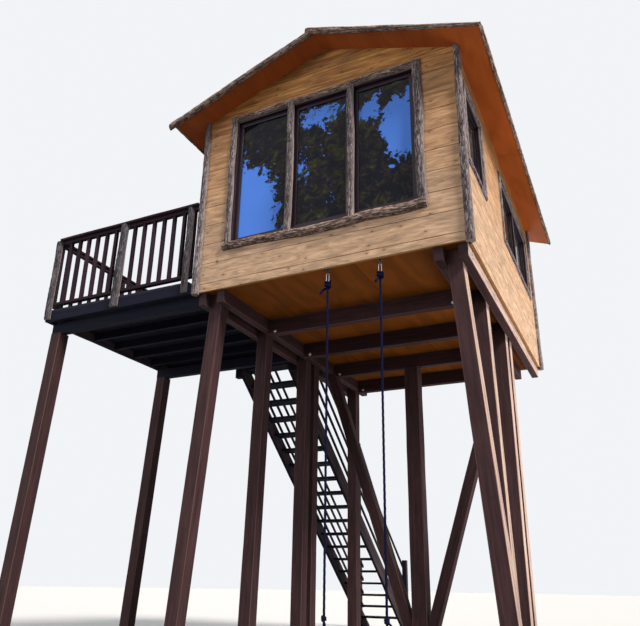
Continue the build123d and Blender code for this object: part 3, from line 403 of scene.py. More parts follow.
class Paint:
    """A new material with short ways to add the nodes that repeat. An input is a number, a tuple or another node."""

    def __init__(self, name):
        self.material = bpy.data.materials.new(name)
        self.material.use_nodes = True
        self.tree = self.material.node_tree
        self.shader = self.tree.nodes["Principled BSDF"]

    def add(self, kind, inputs, **attributes):
        """One node, with its fixed inputs set and the others linked."""
        fixed = {key: value for key, value in inputs.items() if isinstance(value, (int, float, tuple))}
        linked = {key: value for key, value in inputs.items() if key not in fixed}
        return node(self.tree, kind, {**attributes, **fixed}, linked)

    def grain(self):
        """The UV map in metres, u along the grain."""
        return self.add("UVMap", {}, uv_map="grain")

    def place(self):
        """Object coordinates."""
        return self.add("TexCoord", {}).outputs["Object"]

    def mark(self, title):
        """One of the four numbers that the mesh has at each corner."""
        return self.add("Attribute", {}, attribute_name=title).outputs["Fac"]

    def math(self, operation, *values, clamp=False):
        """One arithmetic node."""
        return self.add("Math", dict(enumerate(values)), operation=operation, use_clamp=clamp)

    def drawn(self, place, x, y):
        """The place times x along the grain and y across it."""
        return self.add("VectorMath", {0: place, 1: (x, y, 1.0)}, operation="MULTIPLY")

    def noise(self, place, scale, detail=2.0, rough=0.5, distortion=0.0):
        """A noise texture."""
        return self.add("TexNoise", {"Vector": place, "Scale": scale, "Detail": detail, "Roughness": rough,
                                     "Distortion": distortion})

    def remap(self, value, low, high, start=0.0, stop=1.0):
        """Low at start and high at stop, held beyond them."""
        return self.add("MapRange", {"Value": value, "From Min": start, "From Max": stop, "To Min": low,
                                     "To Max": high})

    def mix(self, share, first, second, blend="MIX"):
        """First where share is 0 and second where it is 1."""
        first, second = ((*c, 1) if isinstance(c, tuple) else c for c in (first, second))
        return self.add("MixRGB", {"Fac": share, "Color1": first, "Color2": second}, blend_type=blend)

    def ramp(self, value, *stops):
        """Colours at their places between 0 and 1."""
        return node(self.tree, "ValToRGB", {"stops": stops}, {"Fac": value})

    def done(self, colour, rough, relief=None, bump=(0.0, 0.0), **sockets):
        """Links colour, roughness and relief, sets the shader's other sockets, and gives back the material. Bump holds
        strength and distance."""
        links = {"Base Color": colour}
        if isinstance(rough, float):
            self.shader.inputs["Roughness"].default_value = rough
        else:
            links["Roughness"] = rough
        if relief:
            links["Normal"] = self.add("Bump", {"Strength": bump[0], "Distance": bump[1], "Height": relief})
        for title, source in links.items():
            self.tree.links.new(source.outputs[0], self.shader.inputs[title])
        for title, value in sockets.items():
            self.shader.inputs[title.replace("_", " ")].default_value = value
        return self.material


def timber(name, pale, dark, arris, end, sunned=None, sun_range=(0.5, 0.9), ring=7.0, ring_mix=0.2, streak_mix=0.9,
           knot_mix=0.0, rough=0.6, gloss=0.3, coat=0.0, spread=0.25, worn=0.5, bump=0.25, uv=True,
           stretch=(0.45, 5.0), smudge=0.0, ragged_to=0.3):
    """Sawn or planed timber. Rings are sin(2 pi k n) of a noise n drawn out along the grain; streaks and fibres are
    finer noises drawn out further; smudges are a shorter noise; knots are near the centres of stretched cells. Each
    board's tone lightens or darkens it, and the arris colour follows the edge mark: worn wood on most timber, the
    seam's painted shade on the cladding. The lit colour follows the sun mark, broken by the streaks: painted sunlight
    on the faces of stained timber that turn to SUNWARD, and on the cladding the paler, greyer boards low on the wall.
    Without a UV the pattern follows the object, and the marks are even."""
    paint = Paint(name)
    if uv:
        place = paint.grain()
        tone, edge, cut, sun = (paint.mark(title) for title in MARKS)
    else:
        place = paint.place()
        tone, edge = (paint.add("Value", {}).outputs[0] for _ in range(2))
        tone.default_value, edge.default_value = 0.5, 0.0
        cut = sun = edge
    shift = paint.add("VectorMath", {0: (37.0, 0.0, 91.0), "Scale": tone}, operation="SCALE")
    moved = paint.add("VectorMath", {0: place, 1: shift}, operation="ADD")
    drawn = paint.drawn(moved, *stretch)
    wave = paint.math("SINE", paint.math("MULTIPLY", paint.noise(drawn, 1.0, 2.0, 0.45, 0.25), 6.2832 * ring))
    rings = paint.remap(wave, 0.0, 1.0, -1.0, 1.0)
    streak = paint.noise(paint.drawn(moved, 1.5, 27.0), 1.0, 4.0, 0.62, 0.15)
    fibre = paint.noise(paint.drawn(moved, 4.0, 80.0), 1.0, 3.0, 0.6)
    patchy = paint.noise(drawn, 1.6, 3.0)
    cells = paint.add("TexVoronoi", {"Vector": paint.drawn(moved, 2.3, 3.9), "Scale": 1.0, "Randomness": 1.0},
                      voronoi_dimensions="2D")
    spot = paint.ramp(cells, (0.0, (1, 1, 1)), (0.024, (0.8, 0.8, 0.8)), (0.036, (0.25, 0.25, 0.25)), (0.11, (0, 0, 0)))
    blend = paint.math("MULTIPLY_ADD", rings, ring_mix, -0.5 * (ring_mix + streak_mix + 0.75) + 0.5)
    for texture, share in ((streak, streak_mix), (fibre, 0.35), (patchy, 0.4)):
        blend = paint.math("MULTIPLY_ADD", texture, share, blend, clamp=texture is patchy)
    colour = paint.mix(blend, pale, dark)
    colour = paint.mix(1.0, colour, paint.remap(tone, 1 - spread, 1 + spread * 0.6), "MULTIPLY")
    # The lit colour: painted sunlight on stained timber where the sun mark is high; on the cladding, the paler, greyer
    # boards low on the wall.
    if sunned:
        ragged = paint.remap(streak, ragged_to, 1.0, 0.42, 0.54)
        lit_share = paint.math("MULTIPLY", paint.remap(sun, 0.0, 1.0, *sun_range), ragged)
        greyed = tuple(part * v for part, v in zip((0.62, 0.56, 0.50), sunned))
        colour = paint.mix(lit_share, colour, paint.mix(blend, sunned, greyed))
    if smudge:
        cloud = paint.noise(paint.drawn(moved, 3.6, 19.0), 1.0, 6.0, 0.66, 0.8)
        colour = paint.mix(1.0, colour, paint.remap(cloud, 1 - smudge, 1 + smudge * 0.5, 0.36, 0.62), "MULTIPLY")
    colour = paint.mix(paint.math("MULTIPLY", spot, knot_mix), colour, tuple(c * 0.35 for c in dark))
    # On the cladding the arris colour is the seam's, so the rubbed arrises there paint shade at the seam's lips.
    rub = paint.math("MULTIPLY", paint.math("MULTIPLY", edge, worn * 1.7), patchy, clamp=True)
    colour = paint.mix(rub, colour, arris)
    colour = paint.mix(paint.math("MULTIPLY", cut, 0.7), colour, end)
    return paint.done(colour, paint.remap(fibre, rough - 0.1, min(1.0, rough + 0.15)),
                      paint.math("MULTIPLY_ADD", streak, 0.6, fibre), (bump, 0.002),
                      Specular_IOR_Level=gloss, Coat_Weight=coat)


def bark_material(name, furrow, middle, ridge):
    """Bark left on the log. Height from the mesh sets furrow or ridge; two noises drawn out along the log break it,
    and the faces that turn to SUNWARD are painted paler as sunlit."""
    paint = Paint(name)
    place = paint.grain()
    streak = paint.noise(paint.drawn(place, 26.0, 95.0), 1.0, 4.0, 0.7, 0.5)
    mixed = paint.math("MULTIPLY", paint.math("MULTIPLY_ADD", streak, 2.4, paint.mark("height")), 0.3)
    colour = paint.ramp(mixed, (0.36, furrow), (0.52, middle), (0.68, ridge))
    colour = paint.mix(1.0, colour, paint.remap(paint.noise(place, 6.0, 3.0), 0.7, 1.25), "MULTIPLY")
    # Painted sunlight: faces toward SUNWARD take the ridge colour, the others 55 percent of it.
    colour = paint.mix(paint.remap(paint.mark("sun"), 0.0, 0.35, 0.55, 1.0), colour, ridge)
    return paint.done(colour, 0.92, streak, (0.6, 0.004), Specular_IOR_Level=0.2)


def glass_material(name, deep, sky):
    """Float glass with painted reflections: near black, painted as the dark room behind, with dark olive and brown
    mottles painted as reflected leaves, and blue in clear areas painted as reflected sky. A patch is 1 - r around its
    centre, stretched; a ragged noise breaks its edge. Each patch: centre and reach in shares of the front window's
    glass and in metres, and strength."""
    sky_reflection_patches = (((0.02, 0.10), (0.66, 1.15), 1.25), ((0.50, 0.90), (0.50, 0.34), 0.46),
               ((0.37, 0.50), (0.16, 0.35), 0.50), ((0.97, 0.60), (0.42, 0.62), 0.95),
               ((0.77, 0.84), (0.24, 0.34), 0.66))
    paint = Paint(name)
    place = paint.place()
    low, high = box_of("front_window_glass")
    sky_reflection_fields = None
    for part, reach, full in sky_reflection_patches:
        centre = low[0] + part[0] * (high[0] - low[0]), low[2] + part[1] * (high[2] - low[2])
        local = paint.add("Mapping", {"Vector": place, "Scale": (1 / reach[0], 0.0, 1 / reach[1]),
                                      "Location": (-centre[0] / reach[0], 0.0, -centre[1] / reach[1])},
                          vector_type="POINT")
        ball = paint.math("MULTIPLY", paint.add("TexGradient", {"Vector": local}, gradient_type="SPHERICAL"), full)
        sky_reflection_fields = ball if sky_reflection_fields is None else paint.math("MAXIMUM", sky_reflection_fields, ball)
    both = paint.math("MULTIPLY_ADD", sky_reflection_fields, 0.6, paint.noise(place, 5.5, 8.0, 0.74, 0.4))
    both = paint.math("MULTIPLY_ADD", paint.add("TexVoronoi", {"Vector": place, "Scale": 22.0}), 0.12, both)
    # Painted dark room, with dark olive and brown mottles painted as reflected leaves.
    dark = paint.ramp(paint.noise(place, 8.0, 7.0, 0.78, 0.6), (0.42, deep), (0.50, linear("#12131F")),
                      (0.55, linear("#2A2014")), (0.63, linear("#2C3A1E")), (0.74, linear("#585C3E")))
    # Painted reflection of blue sky, lighter and darker by a broad noise.
    bright = paint.mix(paint.noise(place, 0.9), tuple(0.72 * v for v in sky), tuple(1.15 * v for v in sky))
    return paint.done(paint.mix(paint.remap(both, 0.0, 1.0, 0.735, 0.775), dark, bright), 0.04, IOR=1.45,
                      Specular_IOR_Level=0.16)


def steel_material(name, colour):
    """Zinc-coated steel: a faint spangle of larger crystals in colour and gloss."""
    paint = Paint(name)
    spangle = paint.add("TexVoronoi", {"Vector": paint.place(), "Scale": 180.0})
    tint = paint.mix(spangle, colour, tuple(v * 0.75 for v in colour))
    return paint.done(tint, paint.remap(spangle, 0.25, 0.42), Metallic=1.0)


def rope_material(name, dark, pale):
    """Laid rope: yarns that catch light on each strand's crown, with a fine yarn twill."""
    paint = Paint(name)
    crown = paint.mark("height")
    turn = paint.add("Mapping", {"Vector": paint.grain(), "Rotation": (0.0, 0.0, 0.6)})
    yarn = paint.add("TexWave", {"Vector": turn, "Scale": 160.0, "Distortion": 0.6})
    return paint.done(paint.mix(paint.math("MULTIPLY", crown, yarn), dark, pale), 0.9, yarn, (0.5, 0.001),
                      Specular_IOR_Level=0.1)


def felt_material(name, dark, pale):
    """Mineral-faced bitumen: grit drawn at 5 mm so that it shows, broad blotches, each tab its own tone."""
    paint = Paint(name)
    place = paint.place()
    grit = paint.noise(place, 200.0)
    mixed = paint.math("MULTIPLY_ADD", paint.mark("tone"), 0.28, -0.25)
    for texture, share in ((paint.noise(place, 3.0, 4.0, 0.65), 0.8), (grit, 0.5)):
        mixed = paint.math("MULTIPLY_ADD", texture, share, mixed)
    return paint.done(paint.mix(mixed, dark, pale), 0.9, grit, (0.5, 0.002))


# Each finish: the function that makes it, its name, its colours and their strength, and what differs in it
PLAIN = (1.0, 1.0, 1.0)
BARK = "bark_furrow bark_middle bark_ridge"
FINISHES = {
    # Planed boards under honey oil, greyed by rain towards the foot and darker and more orange up under the roof, which
    # paints part of the roof's shade: fine straight grain, seams painted dark brown as their shade
    "cladding": (timber, "Planed pine, honey oil", "pine_pale pine_dark pine_seam pine_seam pine_grey", PLAIN,
                 dict(sun_range=(0.0, 0.85), ring=9.0, ring_mix=0.3, streak_mix=2.0, knot_mix=0.9, spread=0.19,
                      worn=0.6, bump=0.5, smudge=0.38, ragged_to=0.8)),
    # Planed boards inside the cabin, left pale
    "lining": (timber, "Planed pine, bare", "pine_pale pine_dark pine_pale pine_dark", PLAIN,
               dict(ring=8.0, knot_mix=0.6, uv=False, bump=0.15)),
    # The tongue at the bottom of each seam, painted dark brown as the groove's shade
    "seam": (timber, "Pine tongue, dark with dust", "pine_seam pine_seam pine_seam pine_seam", PLAIN,
             dict(ring=8.0, rough=0.8, gloss=0.1)),
    # Rotary-cut plywood under an orange-brown stain: wide wild veneer grain, even satin colour
    "ply": (timber, "Plywood, orange stain", "ply_pale ply_dark ply_pale ply_dark", PLAIN,
            dict(ring=5.0, ring_mix=0.3, streak_mix=0.3, rough=0.55, spread=0.1, worn=0.0, bump=0.08,
                 stretch=(0.7, 2.2))),
    # The same stained plywood on the roof's slabs, where the pattern follows the shared frame
    "ply_plain": (timber, "Plywood, orange stain, slab", "ply_pale ply_dark ply_pale ply_dark", PLAIN,
                  dict(ring=5.0, ring_mix=0.3, rough=0.5, uv=False, bump=0.08)),
    # Plywood under the floor, golden brown and painted darker than the soffit's sheets as the shade under the cabin
    "under": (timber, "Plywood, golden-brown stain", "under_pale under_dark under_dark under_dark", PLAIN,
              dict(ring=4.0, ring_mix=0.35, streak_mix=0.3, rough=0.7, gloss=0.1, spread=0.12, bump=0.08,
                   stretch=(0.7, 2.2))),
    # Softwood under a purple-brown stain; the faces that turn to SUNWARD are painted pink-grey as sunlit
    "stain": (timber, "Sawn softwood, purple-brown stain", "stain_pale stain_dark stain_worn stain_dark stain_sunned",
              PLAIN, dict(sun_range=(0.5, 0.8), ragged_to=0.5, streak_mix=1.2, knot_mix=0.4, rough=0.7, gloss=0.12,
                          spread=0.15, worn=0.3, bump=0.4, smudge=0.15)),
    # Softwood under a near-black stain, satin where feet and hands polish it; faces that turn to SUNWARD are painted
    # paler as sunlit
    "deck": (timber, "Sawn softwood, blue-black stain", "deck_pale deck_dark deck_worn deck_worn deck_sunned", PLAIN,
             dict(knot_mix=0.3, rough=0.75, gloss=0.08, spread=0.2, worn=0.2, bump=0.35)),
    # The railing's softwood under the same stain, browner where rain has thinned it
    "rail": (timber, "Sawn softwood, brown-black stain", "rail_pale rail_dark rail_pale rail_pale", PLAIN,
             dict(knot_mix=0.3, rough=0.7, gloss=0.1, spread=0.45, worn=0.3, bump=0.3)),
    # Hardwood sashes under gloss paint: smooth, with a soft highlight
    "sash": (timber, "Planed sash wood, aubergine paint", "sash_pale sash_dark sash_pale sash_dark", PLAIN,
             dict(ring=6.0, ring_mix=0.1, streak_mix=0.3, rough=0.4, gloss=0.22, coat=0.06, spread=0.1, worn=0.15,
                  bump=0.08)),
    # The door's softwood, the same stain as the posts but smoother
    "door": (timber, "Planed softwood, purple-brown stain", "stain_pale stain_dark stain_worn stain_pale", PLAIN,
             dict(knot_mix=0.2, rough=0.5, spread=0.12, worn=0.3, bump=0.2)),
    # The swing's plank, grey-brown and dull
    "plank": (timber, "Weathered pine plank", "plank_pale plank_dark plank_pale plank_pale", PLAIN,
              dict(ring=8.0, ring_mix=0.3, knot_mix=0.7, rough=0.75, spread=0.1, worn=0.4, bump=0.35)),
    # The logs' flat sides: pale tan with short fibres
    "sapwood": (timber, "Sawn sapwood", "sap_pale sap_dark sap_pale sap_dark", PLAIN,
                dict(ring=14.0, ring_mix=0.4, rough=0.7, spread=0.15, worn=0.0, bump=0.3)),
    # Furrowed bark: grey-brown ridges over near-black furrows, quite matt
    "bark": (bark_material, "Oak bark, furrowed", BARK, PLAIN, {}),
    # The same bark, painted warmer and brighter as sunlit, on the roof's edges and under and over the front window
    "sun_bark": (bark_material, "Oak bark, sunned", BARK, (1.30, 1.12, 0.90), {}),
    # The same bark, painted darker and bluer on the railing's logs as the shade they stand in
    "rail_bark": (bark_material, "Oak bark, shaded", BARK, (0.40, 0.44, 0.50), {}),
    # Smooth panes: painted as the dark room behind, with painted reflections of leaves and clear blue sky, under a
    # sharp, weak gloss
    "glass": (glass_material, "Tinted float glass", "glass_deep glass_sky", PLAIN, {}),
    # Hooks, bolts and the door's lever: bright, with a broken gloss
    "steel": (steel_material, "Galvanised steel, bright", "steel", PLAIN, {}),
    # Eye bolts under the floor: the bright steel at 0.18 of its colour, grey, hardly shining
    "dull_steel": (steel_material, "Zinc-plated steel, dull", "steel", (0.18, 0.18, 0.18), {}),
    # Navy yarns, matt, with a lighter crown on each strand
    "rope": (rope_material, "Laid polyester rope, navy", "rope_dark rope_pale", PLAIN, {}),
    # Grey-brown grit, matt and speckled
    "felt": (felt_material, "Bitumen shingle, mineral face", "felt_dark felt_pale", PLAIN, {}),
}
MADE = {}


def finish(key):
    """The material of that key, made once, with the colours that the scene has for it."""
    if key not in MADE:
        maker, name, titles, strength, settings = FINISHES[key]
        chosen = bpy.context.scene.tree_house_colours
        tints = (tuple(part * v for part, v in zip(strength, getattr(chosen, title))) for title in titles.split())
        MADE[key] = maker(name, *tints, **settings)
    return MADE[key]


def dress(name, key):
    """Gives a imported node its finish."""
    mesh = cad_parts[name].data
    mesh.materials.clear()
    mesh.materials.append(finish(key))


# Sizes and colours that a user would change


def length(name, description, default):
    """A length property in metres."""
    return bpy.props.FloatProperty(name=name, description=description, default=default, min=0.0, unit="LENGTH")


def turn(name, description, degrees):
    """An angle property, written in degrees."""
    return bpy.props.FloatProperty(name=name, description=description, default=float(np.radians(degrees)),
                                   subtype="ANGLE", unit="ROTATION")


def colour(name, description, code):
    """A colour property from an sRGB hex code."""
    return bpy.props.FloatVectorProperty(name=name, description=description, default=linear(code), subtype="COLOR",
                                         min=0.0, max=1.0)


class TreeHouseTimber(bpy.types.PropertyGroup):
    """Sizes of the sawn timber."""

    board_pitch: length("Board pitch", "Height of one cladding board with its seam", 0.2585)
    first_board: length("First board", "Height of the part board at the cladding's foot", 0.104)
    seam: length("Seam", "Gap between two cladding boards", 0.0045)
    proud: length("Proud", "How far the boards stand off the wall's core", 0.005)
    arris: length("Arris", "Width of the worn edge on sawn timber", 0.005)
    sheet_width: length("Sheet width", "Width of a plywood sheet", 1.220)
    sheet_length: length("Sheet length", "Length of a plywood sheet", 2.440)


class TreeHouseBark(bpy.types.PropertyGroup):
    """Sizes of the bark-covered logs."""

    corner_radius: length("Corner log radius", "Radius of the logs over the wall corners", 0.052)
    corner_shift: length("Corner log shift", "How far the corner logs' middle lies outside the corner", 0.008)
    barge_radius: length("Barge log radius", "Radius of the half logs on the roof's front and back edges", 0.044)
    barge_tail: length("Barge log tail", "How far the left barge logs run past the eave", 0.085)
    barge_lap: length("Barge log lap", "How far the right barge logs run past the peak", 0.095)
    eave_radius: length("Eave log radius", "Radius of the half logs along the eaves", 0.036)
    jamb_radius: length("Upright radius", "Half the width of the front window's upright logs", 0.043)
    sill_radius: length("Sill radius", "Half the height of the front window's sill log", 0.060)
    head_radius: length("Head radius", "Half the height of the front window's head log", 0.042)
    side_radius: length("Side trim radius", "Half the width of the side windows' logs", 0.034)
    rail_radius: length("Rail log radius", "Radius of the railing's half logs", 0.055)
    depth: length("Bark depth", "Depth of the furrows", 0.005)


class TreeHouseRoof(bpy.types.PropertyGroup):
    """Sizes of the roof's finish."""

    pitch: turn("Pitch", "Slope of the roof", 20.5)
    side_reach: length("Side overhang", "How far the roof reaches past the side walls", 0.320)
    front_reach: length("Front overhang", "How far the roof reaches past the front wall", 0.290)
    back_reach: length("Back overhang", "How far the roof reaches past the back wall", 0.380)
    slab: length("Slab", "Thickness of the roof's slab across the slope", 0.055)
    eave: length("Eave height", "Height of the side walls", 2.400)
    exposure: length("Shingle exposure", "Height of a shingle course that shows", 0.145)
    tab: length("Shingle tab", "Width of one shingle tab", 0.333)


class TreeHouseColours(bpy.types.PropertyGroup):
    """Colours of the finishes."""

    pine_pale: colour("Pine, pale", "Early wood of the cladding", "#C1894C")
    pine_dark: colour("Pine, dark", "Late wood of the cladding", "#76491E")
    # The greyed colour goes on the lower boards; those up under the roof keep the darker pine, which paints part of the
    # roof's shade.
    pine_grey: colour("Pine, greyed", "Cladding greyed by rain", "#CCAB8D")
    # The seam colour is painted shade: on the tongue in each groove and on the boards' arrises beside it; it also
    # darkens the boards' cut ends.
    pine_seam: colour("Pine, seam", "Bottom and lips of the seams", "#5E4026")
    ply_pale: colour("Plywood, pale", "Soffit plywood's lighter veneer", "#B75F28")
    ply_dark: colour("Plywood, dark", "Soffit plywood's darker veneer", "#8A4016")
    # Both underfloor colours are darker than the soffit's plywood: painted shade under the cabin.
    under_pale: colour("Underfloor, pale", "Underfloor plywood's lighter veneer", "#8C4C18")
    under_dark: colour("Underfloor, dark", "Underfloor plywood's darker veneer", "#58300C")
    stain_pale: colour("Stain, pale", "Purple-brown stain where it is thin", "#4D3433")
    stain_dark: colour("Stain, dark", "Purple-brown stain in the late wood", "#261A20")
    stain_worn: colour("Stain, worn", "Wood that shows along worn arrises", "#8C6C62")
    # The lit stain colour is painted sunlight on the faces that turn to SUNWARD.
    stain_sunned: colour("Stain, sunned", "Stain bleached on the weather side", "#D0B6AA")
    deck_pale: colour("Deck, pale", "Blue-black stain where it is thin", "#1C1D2C")
    deck_dark: colour("Deck, dark", "Blue-black stain in the late wood", "#0F101A")
    deck_worn: colour("Deck, worn", "Deck timber's worn arrises", "#2E2C38")
    # The lit deck colour is painted sunlight on the faces that turn to SUNWARD.
    deck_sunned: colour("Deck, sunned", "Deck stain on the weather side", "#4A3F42")
    rail_pale: colour("Railing, pale", "Brown-black stain where it is thin", "#33212A")
    rail_dark: colour("Railing, dark", "Brown-black stain in the late wood", "#191219")
    sash_pale: colour("Sash, pale", "Paint on the window frames, worn", "#2B1A24")
    sash_dark: colour("Sash, dark", "Paint on the window frames", "#170F1A")
    plank_pale: colour("Plank, pale", "Weathered pine plank", "#9C8468")
    plank_dark: colour("Plank, dark", "Weathered pine plank's late wood", "#6A543E")
    sap_pale: colour("Sapwood, pale", "Sawn sides of the logs", "#A0948A")
    sap_dark: colour("Sapwood, dark", "Late wood on the sawn sides", "#74675E")
    bark_furrow: colour("Bark, furrow", "Bottom of the bark's furrows", "#241E1D")
    bark_middle: colour("Bark, middle", "Flank of the bark's ridges", "#5A4F50")
    bark_ridge: colour("Bark, ridge", "Crown of the bark's ridges", "#988C8C")
    # Both glass colours are painted: the deep one as the dark room behind, the bright one as reflected sky.
    glass_deep: colour("Glass, deep", "Glass where the room behind is dark", "#0A0C12")
    glass_sky: colour("Glass, bright", "Glass where it is brightest", "#5286E6")
    steel: colour("Steel", "Galvanised steel", "#C8C9CC")
    rope_dark: colour("Rope, dark", "Rope between the strands", "#05061A")
    rope_pale: colour("Rope, pale", "Rope on the strands' crowns", "#121A40")
    felt_dark: colour("Shingle, dark", "Shingle's darker grit", "#3C3835")
    felt_pale: colour("Shingle, pale", "Shingle's lighter grit", "#78706A")


class TreeHouseStage(bpy.types.PropertyGroup):
    """The stage's camera and floor."""

    lens: bpy.props.FloatProperty(name="Lens", description="Focal length on a 36 mm sensor", default=37.36,
                                  unit="CAMERA")
    shift: bpy.props.FloatProperty(name="Shift", description="Upward shift, in picture widths", default=0.0311)
    yaw: turn("Yaw", "Turn to the left of straight back", 25.80)
    pitch: turn("Pitch", "Upward tilt", 20.68)
    roll: turn("Roll", "Turn about the view", 0.889)
    place: bpy.props.FloatVectorProperty(name="Place", description="Camera from the cabin's front right lower corner",
                                         default=(1.192, -5.7893, -3.163), subtype="XYZ")
    floor: colour("Floor", "The plain floor", "#C9C8C6")


# Operators: one for each piece or group of like pieces


def wall_strips(along, top, openings, values):
    """The strips of one wall's boards: for each course, whole lengths beside an opening and part heights above and
    below it. Along is the wall's length, top the height it reaches; openings are (from, to, foot, head)."""
    edges = [0.0, values.first_board]
    while edges[-1] < top - 0.01:
        edges.append(min(edges[-1] + values.board_pitch, top))
    strips = []
    for course, (low, high) in enumerate(zip(edges[:-1], edges[1:])):
        spot = 0.0
        for start, stop, foot, head in sorted(o for o in openings if o[2] < high - 1e-4 and o[3] > low + 1e-4):
            strips.append((course, spot, start, low, high))
            if foot > low:
                strips.append((course, start, stop, low, foot))
            if head < high:
                strips.append((course, start, stop, head, high))
            spot = stop
        strips.append((course, spot, along, low, high))
    return strips


class TREEHOUSE_OT_cladding(bpy.types.Operator):
    """Horizontal pine boards on the four walls"""

    bl_idname = "treehouse.cladding"
    bl_label = "Cladding boards"

    def execute(self, context):
        sizes, roof = context.scene.tree_house_timber, context.scene.tree_house_roof
        slope = np.tan(roof.pitch)
        ridge = roof.eave + WIDTH / 2 * slope
        low, high = box_of("front_window_frame") - at(-WIDTH, 0, 0)
        holes = [(start, stop, WINDOW_FOOT, WINDOW_HEAD) for *_, start, stop, lights in WINDOWS]
        left = [(LENGTH - b, LENGTH - a, foot, head) for a, b, foot, head in (holes[2], DOOR_OPENING)]
        lip, tongue = 0.004, 0.012
        walls = (
            ("front_boards", at(-WIDTH, 0, 0), X, -Y, WIDTH, [(low[0], high[0], low[2], high[2])], ridge),
            ("back_boards", at(0, LENGTH, 0), -X, Y, WIDTH, holes[3:], ridge),
            ("right_boards", at(0, 0, 0), Y, X, LENGTH, holes[:2], roof.eave),
            ("left_boards", at(-WIDTH, LENGTH, 0), -Y, -X, LENGTH, left, roof.eave),
        )
        for number, (name, corner, run, out, along, openings, top) in enumerate(walls):
            with Shape(name, "cladding seam", "pine_cladding") as shape:
                for course, start, stop, low, high in wall_strips(along, top, openings, sizes):
                    cuts = (None, None)
                    if low >= roof.eave - 1e-3:
                        inset = ((low + high) / 2 - roof.eave) / slope
                        start, stop = max(start, inset), min(stop, along - inset)
                        cuts = (unit(run * slope - Z), unit(run * slope + Z))
                        if stop - start < 0.05:
                            continue
                    self.board(shape, corner, run, out, (start, stop), (low, high), cuts, number * 100 + course)
                    # A dark tongue strip behind each seam: painted shade at the bottom of the groove.
                    if course and low < roof.eave:
                        foot = corner + out * (sizes.proud - lip) / 2 + Z * low
                        beam(shape, foot + run * start, foot + run * stop, Z, tongue, sizes.proud - lip,
                             arris=0.0004, step=3.0, seed=number * 100 + course, rough=0.0, kind=1)
        for name in ("front_wall", "back_wall", "left_wall", "right_wall", "cabin_floor"):
            dress(name, "lining")
        return {"FINISHED"}

    def board(self, shape, corner, run, out, reach, level, cuts, seed):
        """One board between two lengths along the wall and two heights, half a seam short of each. Rain greys it more
        the lower it is; the boards up under the roof keep the darker, more orange colour, which paints part of the
        roof's shade."""
        sizes, roof = bpy.context.scene.tree_house_timber, bpy.context.scene.tree_house_roof
        low, high = level
        rng = np.random.default_rng(seed)
        base = corner + out * (sizes.proud / 2 - 0.0005) + Z * ((low + high) / 2)
        gap = sizes.seam / 2 if high > low + 0.02 else 0
        # Share of the greyed colour: more towards the foot, none up under the roof, where the darker pine paints part
        # of the roof's shade.
        rain = float(np.clip(1.05 - (low + high) / 2 / roof.eave, 0.0, 1.0))
        beam(shape, base + run * reach[0], base + run * reach[1], Z, high - low - 2 * gap, sizes.proud + 0.001,
             arris=0.0025, step=0.11, cuts=cuts, seed=seed, tone=float(rng.random()), rough=0.0, wavy=0.0018,
             u0=float(rng.random() * 9) + reach[0], v0=float(rng.random() * 9) + low, worn=0.012, sun=rain)


